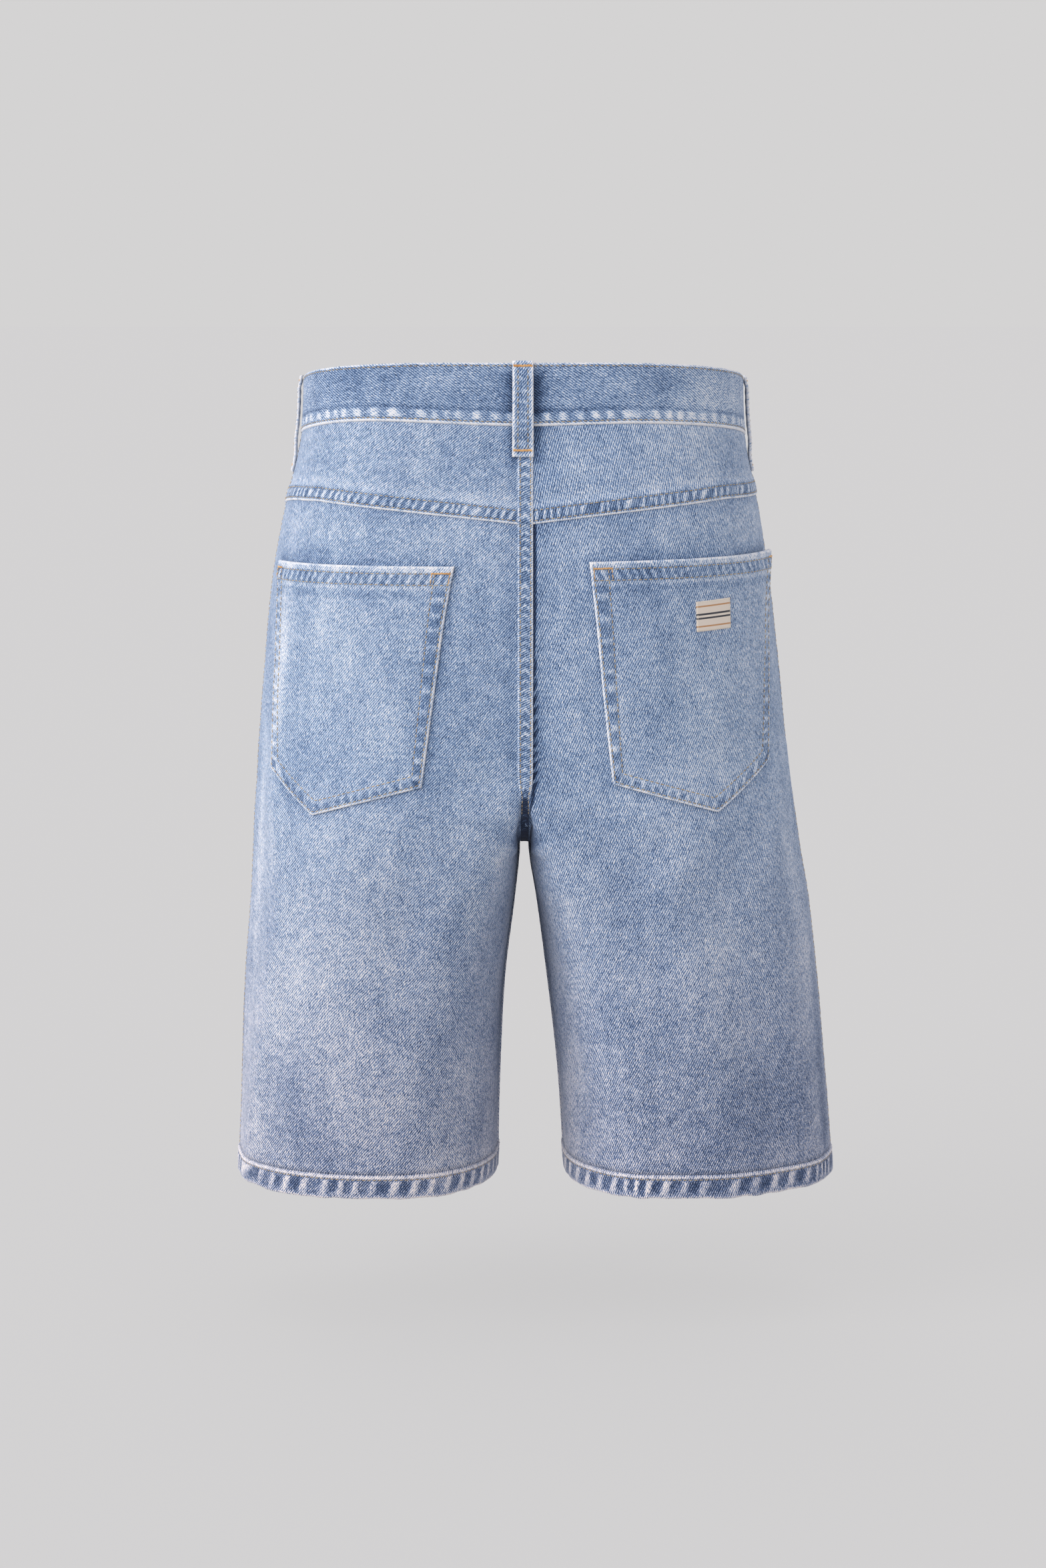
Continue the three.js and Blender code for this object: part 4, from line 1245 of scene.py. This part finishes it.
def makeFront(side):
    # The front panel from the hem to the waist, cut out at the hand pocket
    half = halfName[side]
    t, share = np.meshgrid(panelSteps(), crowd(panel["cols"], 0.5), indexing="ij")
    # The rows above the opening's foot start on its quarter of an ellipse
    high = np.maximum(t - 1 - panel["turned"], 0) / (1 - panel["turned"])
    f = mix(panel["scoopShare"] * np.sin(math.pi / 2 * high), 1, share)
    z = legRowZ(share, t, seamOf(waistSeamZ, side, -f) - 0.1, form["riseFront"], panel["scoopDrop"])
    lap = front["flyLap"] / halfRound * smooth(-176, -166, z) * share**6 if side > 0 else 0
    point, out, fadeAndShade = frontFace(side, f + lap, z)
    uv = turned(side * arcAt(side, -f, z), z, side * panel["frontTilt"])
    piece = shell("front_panel_" + half, point, point - out * form["cloth"], uv, fadeAndShade, cloth)
    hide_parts("front_" + half)

    turn = np.linspace(0.02, math.pi / 2, 200)
    for row in front["edgeRows"]:
        f = np.cos(turn) * (panel["scoopShare"] + row / halfRound)
        top = seamOf(waistSeamZ, side, -f)
        z = top - (panel["scoopDrop"] + row) * np.sin(turn)
        keep = (z < top - 1) & (f > 0.004)
        sew("tan", frontFace(side, f[keep], z[keep]))
    # A bartack at each end of the hand pocket
    bartack(frontFace(side, np.full(12, 0.514), np.linspace(-62, -54, 12)), 1.8)
    lowZ = seamOf(waistSeamZ, side, np.zeros(1))[0] - 80.5
    bartack(frontFace(side, np.linspace(0.004, 0.036, 12), np.full(12, lowZ)), 1.8)


def makeFly():
    # Two rows of the J stitch on the left front, with bartacks, and the shield behind
    top = waistSeamZ(0, -120)
    for inset in (0.0, 6.0):
        wide = front["flyWidth"] - inset
        drop = front["flyDrop"] - inset
        turn = np.linspace(0, math.pi / 2, 60)
        c = np.concatenate([np.full(80, wide), wide * np.cos(turn)])
        bend = top - drop + front["flyTurn"]
        z = np.concatenate([np.linspace(top - 1, bend, 80), bend - front["flyTurn"] * np.sin(turn)])
        keep = c > 1.0
        c, z = c[keep], z[keep]
        sew("tan", frontFace(1, -fromSeam(1, -1, c, z), z))
    for c, z in ((np.linspace(1, 8, 12), np.full(12, top - front["flyDrop"] + 9)),
                 (np.full(12, front["flyWidth"] - 3), np.linspace(top - 92, top - 84, 12))):
        bartack(frontFace(1, -fromSeam(1, -1, c, z), z), 1.8)
    g = np.linspace(-0.83, -1.017, 30)[None]
    z = mix(-190.0, seamOf(waistSeamZ, 1, g) - 0.3, np.linspace(0, 1, 70)[:, None])
    g, z = np.broadcast_arrays(g, z)
    point, out = surface(1, g, z, -2.6)
    uv = turned(g * halfRound, z, 0)
    piece = shell("fly_facing", point, point - out * facing["wall"], uv, 0 * z - 0.05, cloth)
    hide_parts("fly_shield")


def makeFacing(side):
    # The facing lies under the hand pocket's opening and a little past its edge
    half = halfName[side]
    f = np.linspace(0, panel["scoopShare"] + 0.1, 60)[None]
    top = seamOf(waistSeamZ, side, -f) - 0.2
    z = mix(top - panel["scoopDrop"] - facing["below"], top, np.linspace(0, 1, 50)[:, None])
    f, z = np.broadcast_arrays(f, z)
    point, out = surface(side, -f, z, -facing["under"] - 0.6 * smooth(0.0, 0.02, f))
    edge = scoopDistance(side, f, z, seamOf(waistSeamZ, side, -f))
    # Darker overall, and painted shade towards the opening's edge where the panel overhangs the facing
    fadeAndShade = wornAndShaded(side, -f * 200, z) - 0.3 * smooth(-16, -2, edge) - 0.08
    uv = turned(-side * f * 220, z, 0)
    piece = shell("hand_pocket_facing_" + half, point, point - out * facing["wall"], uv, fadeAndShade, cloth)
    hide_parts("pocket_facing_" + half)


# Hems
hem = {"row": 13.6, "pitch": 13.0, "stations": 520, "ridge": 15.3, "top": 16.9, "inner": -1.9, "grainTilt": 6}


def hemFace(side, g, up):
    # The hem, by height above its fold: worn edge, puckers up to the sunk row, roped ridge on top
    arc = side * arcAt(side, g, hemZ + up)
    z = hemZ + up + 0.55 * noise(arc, 0, 9.0, 98) * fall(0, 9, up)
    wave = puckers(arc, -up, hem["pitch"], 0.3, 91 + side, 0.85)
    worn = 0.9 + 0.4 * noise(arc, up, 8.0, 66)
    under = band(up, 1.6, hem["row"] - 0.9, 1.0)
    ridge = bell(up - hem["ridge"], 1.2)
    sunk = sewnIn(up, (hem["row"],))
    rope = 1 + 0.35 * puckers(arc, up, 7.0, 0.8, 94)
    height = 1.0 - 1.0 * fall(0, 1.8, up) ** 2 - 0.8 * smooth(hem["ridge"], hem["top"], up)
    height = height + 0.5 * ridge * rope + 0.42 * wave * under * smooth(0, 9, up) - 0.4 * sunk
    point, out = surface(side, g, z, height)
    # Darker in the stitch grooves: unworn indigo and painted shade
    fadeAndShade = wornAndShaded(side, side * arc, z) + 0.9 * ridge * rope - 0.5 * sunk + 0.95 * worn * fall(0.3, 2.4, up)
    fadeAndShade = fadeAndShade + under * worn * smooth(0, 7, up) * (-0.65 + 1.55 * smooth(-0.25, 1.0, wave))
    return point, out, fadeAndShade


def makeHem(side):
    # The hem runs all round the leg, so its last column joins the first
    half = halfName[side]
    g = -1 + 2 * (np.arange(hem["stations"] + 1) + 0.5) / hem["stations"]
    up = np.concatenate([np.linspace(0, 2, 8)[:-1], np.linspace(2, hem["top"], 28)])
    gg, uu = np.meshgrid(g[:-1], up)
    point, out, fadeAndShade = hemFace(side, gg, uu)
    inner = surface(side, gg, hemZ + uu, hem["inner"])[0]
    arc = arcAt(side, np.clip(g, -1, 1)[None], hemZ + 0 * g[None])
    arc[0, -1] = arc[0, -2] + 1.0
    arcs, heights = np.repeat(arc, len(up), 0), np.repeat(up[:, None], len(g), 1)
    uv = turned(side * arcs, heights + hemZ, side * hem["grainTilt"])
    piece = shell("hem_" + half + "_turned_up", point, inner, uv, fadeAndShade, cloth, wrap=True)
    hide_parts("hem_" + half)
    g = np.linspace(-0.998, 0.998, 900)
    sew("tan", hemFace(side, g, np.full_like(g, hem["row"])))


# Waistband
waist = {
    "wall": 2.4,
    "proud": 1.0,
    "low": 2.6,  # the stitched rows, from the seam and from the top
    "high": 2.0,
    "pitch": 11.0,
    "lap": {1: 0.02, -1: 0.15},
    "lapUnder": 3.35,
    "stations": 330,
    "rows": 44,
}


def bandFace(side, g, z, seam, top):
    # The waistband: two folded worn edges, a sunk row inside each, puckers over the lower one,
    # painted shade beside the loops and along the groove above the puckers. The right end goes under the left
    # one.
    below, above = z - seam, top - z
    arc = arcAt(side, np.clip(g, -1, 1), z)
    length = arcAt(side, np.ones_like(z), z)
    along = arc if side > 0 else 2 * length - arc
    frontLength = np.abs(arcAt(side, -np.ones_like(z), z))
    under = waist["lapUnder"] * smooth(0.86, 0.97, -g) if side < 0 else 0
    fromEnd = (g + 1 + waist["lap"][side]) * frontLength
    wave = puckers(along, below, waist["pitch"], 0.35, 101, 0.8)
    sewn = band(below, 3.7, 8.8, 0.6)
    sunk = sewnIn(below, (waist["low"],)) + sewnIn(above, (waist["high"],))
    height = waist["proud"] - under - 0.9 * fall(0, 1.3, below) ** 2 - 0.9 * fall(0, 1.6, above) ** 2
    height = height - 0.9 * fall(0, 1.3, fromEnd) ** 2 + 0.22 * wave * sewn
    height = height - 0.22 * bell(below - 9.6, 1.1) - 0.3 * sunk
    point, out = surface(side, g, z, height)
    cloudy = 0.35 * noise(along * 0.45, below, 14, 63) * smooth(8, 16, below)
    # Darker in the stitch grooves: unworn indigo and painted shade
    fadeAndShade = wornAndShaded(side, arc, z) - 0.05 - 0.35 * sunk + cloudy
    worn = 0.85 + 0.35 * noise(along, below, 6, 64)
    fadeAndShade = fadeAndShade + 1.9 * worn * fall(1.3, 2.1, below) + 1.3 * worn * fall(0.6, 1.6, above)
    # The dark line 10.2 mm over the seam is painted shade along the groove there
    fadeAndShade = fadeAndShade + sewn * worn * (-0.1 + 1.25 * smooth(-0.5, 0.8, wave)) - 0.5 * bell(below - 10.2, 1.6)
    # Painted shade on the band beside each loop
    for loopSide, middle in loopMiddles:
        if loopSide == side or abs(middle) == 1:
            away = np.abs(g - middle)
            if abs(middle) == 1 and loopSide != side:
                away = np.abs(np.abs(g) - 1)
            off = np.maximum(away * length - loops["width"] / 2, 0)
            fadeAndShade = fadeAndShade - 0.95 * bell(off, 6.0) * band(below, 6, 35, 5)
    return point, out, fadeAndShade, along


def makeWaistband():
    # Both halves of the band are joined at the back into one strip
    sides = []
    for side in (1, -1):
        lap = waist["lap"][side]
        g = np.linspace(-1 - lap, 1, waist["stations"])
        if side < 0:
            g = g[::-1][1:]
        seam = seamOf(waistSeamZ, side, g)[None]
        top = seamOf(waistTopZ, side, g)[None]
        rows = crowd(waist["rows"], 0.45)[:, None]
        z = mix(seam, top, rows)
        gg = np.broadcast_to(g[None], z.shape)
        point, out, fadeAndShade, along = bandFace(side, gg, z, seam, top)
        sides.append((point, out, fadeAndShade, along, z - seam))
        for row, low in ((waist["low"], True), (waist["high"], False)):
            inside = g[g > -1 - lap + 0.01]
            s, t = seamOf(waistSeamZ, side, inside), seamOf(waistTopZ, side, inside)
            sew("tan", bandFace(side, inside, s + row if low else t - row, s, t))
    point, out, fadeAndShade, along, below = (np.concatenate([a, b], 1) for a, b in zip(*sides))
    uv = turned(along, below, 90)
    piece = shell("waistband_folded", point, point - out * waist["wall"], uv, fadeAndShade, cloth)
    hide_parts("waistband")


# Belt loops
loops = {
    "width": 12.8,
    "wall": 1.7,
    # height of the face over the cloth: at the tail, off the band at the back and the sides, at the top
    "tail": 2.7,
    "standBack": 5.7,
    "standSide": 4.9,
    "head": 3.7,
    "above": 1.3,  # the fold stands a little above the band
    "aside": 1.3,
    "rows": (-3.0, 3.0),
    "tackLow": 4.2,
    "tackHigh": 3.4,
    # node, side, distance round the waist from the outseam, tail below the band
    "places": [
        ("belt_loop_back", 1, None, 20),
        ("belt_loop_side_left", 1, 14, 26),
        ("belt_loop_side_right", -1, 11, 24),
        ("belt_loop_front_left", 1, -152, 22),
        ("belt_loop_front_right", -1, -152, 22),
    ],
}


def loopMiddle(side, arc):
    # Place of a loop round its half: at the seat seam, or a distance from the outseam
    return 1.0 if arc is None else float(placeAt(side, np.array([arc]), np.array([-20.0]))[0])


loopMiddles = [(side, loopMiddle(side, arc)) for _, side, arc, _ in loops["places"]]


def loopFace(side, middle, seam, top, tail, across, z):
    # Sewn down at its tail and its top, standing off the band between
    length = float(arcAt(side, np.ones(1), np.array([-20.0]))[0])
    g = middle + (across - (loops["aside"] if middle == 1 else 0)) / length
    leaves = smooth(seam - tail + 7, seam - 1, z)
    returns = smooth(top - 9, top - 3, z)
    stand = loops["standBack"] if middle == 1 else loops["standSide"]
    height = mix(mix(loops["tail"], stand, leaves), loops["head"], returns)
    edge = loops["width"] / 2 - np.abs(across)
    fromEnd = np.minimum(z - seam + tail, top - z)
    height = height - 0.5 * fall(0, 1.1, edge) ** 2 - 0.7 * fall(0, 1.5, fromEnd) ** 2
    for row in loops["rows"]:
        height = height - 0.18 * bell(across - row, 0.6)
    height = height - 0.55 * bell(z - seam + tail - loops["tackLow"], 1.5) * smooth(0, 1.5, edge)
    height = height - 0.45 * bell(top - z - loops["tackHigh"], 1.4) * smooth(0, 1.5, edge)
    wave = puckers(z, across, 7.0, 0.2, 111 + int(middle * 50))
    point, out = surface(side, g, z, height + 0.1 * wave)
    fadeAndShade = 0.02 + 1.25 * fall(0.5, 2.1, edge) + 0.9 * fall(0.8, 2.8, fromEnd)
    fadeAndShade = fadeAndShade + band(np.abs(across), 0, 2.5, 0.5) * (-0.4 + 0.8 * smooth(0, 1.0, wave))
    # Darker in the stitch grooves: unworn indigo and painted shade
    fadeAndShade = fadeAndShade - 0.3 * sewnIn(across, loops["rows"])
    fadeAndShade = fadeAndShade + 0.12 * noise(across * 2, z * 0.8 + middle * 40, 5, 8)
    return point, out, fadeAndShade


def makeLoop(name, side, arc, tail):
    # A folded strip from its tail to its head, with two rows and two bartacks
    middle = loopMiddle(side, arc)
    at = np.array([middle])
    seam, top = seamOf(waistSeamZ, side, at)[0], seamOf(waistTopZ, side, at)[0]
    top = top + loops["above"]
    z = np.linspace(seam - tail, top, 90)[:, None]
    across = crowd(27, 0.4)[None] * loops["width"] - loops["width"] / 2
    across, z = np.broadcast_arrays(across, z)
    point, out, fadeAndShade = loopFace(side, middle, seam, top, tail, across, z)
    uv = turned(side * across, z, 0)
    piece = shell(name + "_strip", point, point - out * loops["wall"], uv, fadeAndShade, cloth)
    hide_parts(name)
    for row in loops["rows"]:
        zs = np.linspace(seam - tail + 5.5, top - 5, 60)
        sew("tan", loopFace(side, middle, seam, top, tail, np.full_like(zs, row), zs))
    for zTack in (seam - tail + loops["tackLow"], top - loops["tackHigh"]):
        c = np.linspace(-loops["width"] / 2 + 0.7, loops["width"] / 2 - 0.7, 24)
        bartack(loopFace(side, middle, seam, top, tail, c, np.full_like(c, zTack)), 1.9)


# Label
label = {
    "corners": ((123.8, -143.7), (95.6, -142.0), (125.2, -163.6), (97.6, -162.2)),
    "wall": 0.45,
    "lift": 0.8,
    "width": 28,
    "height": 20.5,
    "rib": 0.42,
    "ground": "#e6d9cd",
    "bands": "#3d3e46",
    "trim": "#c5946a",
    # share of the height where each stripe starts
    "stripes": [(0.0, "ground"), (0.14, "trim"), (0.19, "ground"), (0.40, "bands"), (0.46, "ground"),
                (0.53, "bands"), (0.59, "ground"), (0.80, "trim"), (0.85, "ground")],
}


def wovenLabel():
    # Damask-woven polyester: fine ribs across, with plain bands woven in darker weft
    material, tree, shader = newMaterial("woven_label")
    uv = node(tree, "ShaderNodeUVMap", {"uv_map": "cloth"}).outputs["UV"]
    rib = node(tree, "ShaderNodeTexWave", {
        "bands_direction": "Y", "wave_profile": "SIN", "Distortion": 0.4,
        "Scale": 2 * math.pi / 20 / (label["rib"] * mm),
    }, {"Vector": uv}).outputs["Fac"]
    scale = (1, 1 / (label["height"] * mm), 1)
    share = node(tree, "ShaderNodeMapping", {"Scale": scale}, {"Vector": uv}).outputs["Vector"]
    height = node(tree, "ShaderNodeSeparateXYZ", None, {"Vector": share}).outputs["Y"]
    colors = [label[name] for _, name in label["stripes"]]
    stripes = colorRamp(tree, height, colors, [at for at, _ in label["stripes"]], "CONSTANT")
    bump = node(tree, "ShaderNodeBump", {"Strength": 0.5, "Distance": 0.0002}, {"Height": rib})
    tree.links.new(stripes, shader.inputs["Base Color"])
    tree.links.new(bump.outputs["Normal"], shader.inputs["Normal"])
    shader.inputs["Roughness"].default_value = 0.7
    shader.inputs["Sheen Weight"].default_value = 0.15
    return material


def makeLabel():
    # A thin patch between its four corners on the right pocket, sewn round its edge
    a, b, c, d = (np.array(corner) for corner in label["corners"])
    t = np.linspace(0, 1, 40)
    across, down = t[None, :, None], t[:, None, None]
    place = mix(mix(a, b, across), mix(c, d, across), down)
    fromSide = np.minimum(across, 1 - across) * label["width"]
    edge = np.minimum(fromSide, np.minimum(down, 1 - down) * 20)[..., 0]
    height = label["lift"] - 0.35 * fall(0, 1.0, edge) ** 2
    point, out, _ = pocketFace(-1, place[..., 0], place[..., 1], height)
    uv = np.stack(np.broadcast_arrays(-place[..., 0] * mm, (1 - down[..., 0]) * label["height"] * mm), -1)
    piece = shell("woven_label", point, point - out * label["wall"], uv, 0 * height, wovenLabel())
    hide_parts("label")
    for start, end in ((a, b), (b, d), (d, c), (c, a)):
        start, end = mix(start, (a + d) / 2, 0.06), mix(end, (a + d) / 2, 0.06)
        u, v = straight(start, end, 30)
        sew("cream", pocketFace(-1, u, v, label["lift"] - 0.1), 1.3, 0.5, 0.18)


# Button
button = {"arc": -218, "share": 0.52, "metal": "#b08a5e", "dark": "#6d5138", "steps": 96}


def agedCopper():
    # Copper-plated brass, tumbled: darker where the plating has dulled
    material, tree, shader = newMaterial("aged_copper")
    place = node(tree, "ShaderNodeTexCoord").outputs["Object"]
    noisy = node(tree, "ShaderNodeTexNoise", {"Scale": 420.0, "Detail": 4.0}, {"Vector": place})
    spots = noisy.outputs["Fac"]
    copper = colorRamp(tree, spots, (button["dark"], button["metal"]), (0.4, 0.6))
    tree.links.new(copper, shader.inputs["Base Color"])
    shader.inputs["Metallic"].default_value = 1.0
    shader.inputs["Roughness"].default_value = 0.42
    return material


def makeButton():
    # Turned profile, radius and height, round the direction outwards
    profile = np.array([
        (0.02, 0.0), (3.2, 0.0), (3.2, 0.8), (7.4, 0.95), (8.2, 1.3), (8.5, 1.9), (8.45, 2.5), (8.0, 3.05),
        (7.4, 3.35), (6.7, 3.4), (6.2, 3.15), (5.9, 2.85), (5.4, 2.8), (5.0, 3.0), (4.2, 3.35), (3.0, 3.65),
        (1.6, 3.8), (0.02, 3.85),
    ])
    side = 1
    at = np.array([float(placeAt(side, np.array([button["arc"]]), np.array([-35.0]))[0])])
    z = mix(seamOf(waistSeamZ, side, at), seamOf(waistTopZ, side, at), button["share"])
    centre, out = surface(side, at, z, waist["proud"] + 0.25)
    centre, out = centre[0], out[0]
    aside = np.cross((0, 0, 1), out)
    aside /= np.linalg.norm(aside)
    up = np.cross(out, aside)
    angle = np.arange(button["steps"]) * 2 * math.pi / button["steps"]
    ringShape = np.cos(angle)[:, None] * aside + np.sin(angle)[:, None] * up
    points = centre + profile[:, None, :1] * ringShape[None] + profile[:, None, 1:] * out
    rows, steps = len(profile), button["steps"]
    i, j = np.meshgrid(np.arange(rows - 1), np.arange(steps), indexing="ij")
    i, j = i.ravel(), j.ravel()
    k = (j + 1) % steps
    faces = np.stack([i * steps + j, i * steps + k, (i + 1) * steps + k, (i + 1) * steps + j], 1)
    piece = putMesh("tack_button", points.reshape(-1, 3), faces, None, {}, agedCopper())
    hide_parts("button")

    # Buttonhole: close stitches either side of a slit that runs back from the button
    seam, top = seamOf(waistSeamZ, side, at), seamOf(waistTopZ, side, at)
    for off in (1.3, -1.3):
        arc = np.linspace(button["arc"] - 4, button["arc"] + 19, 40)
        g = placeAt(side, arc, np.full_like(arc, -35.0))
        s, t = seamOf(waistSeamZ, side, g), seamOf(waistTopZ, side, g)
        bartack(bandFace(side, g, mix(s, t, button["share"]) + off, s, t), 1.9, "tan")


def joinThreads():
    # One piece for all stitches of a colour
    materials = {"tan": tanThread, "gold": goldThread, "cream": creamThread}
    for colour, runs in threadRuns.items():
        points = np.concatenate(runs)
        faces = stitchFaces(len(points))
        piece = putMesh(colour + "_stitches", points.reshape(-1, 3), faces, None, {}, materials[colour])
        print(colour, "stitches:", len(points))


for side in (1, -1):
    makePocket(side)
    makeBack(side)
    makeYoke(side)
    makeInseam(side)
    makeHem(side)
makeCentreSeam(1)
print("back made")

makeWaistband()
for place in loops["places"]:
    makeLoop(*place)
print("waistband and loops made")

for side in (1, -1):
    makeFront(side)
    makeFacing(side)
makeFly()
makeCentreSeam(-1)
makeButton()
makeLabel()
print("front, button and label made")

joinThreads()
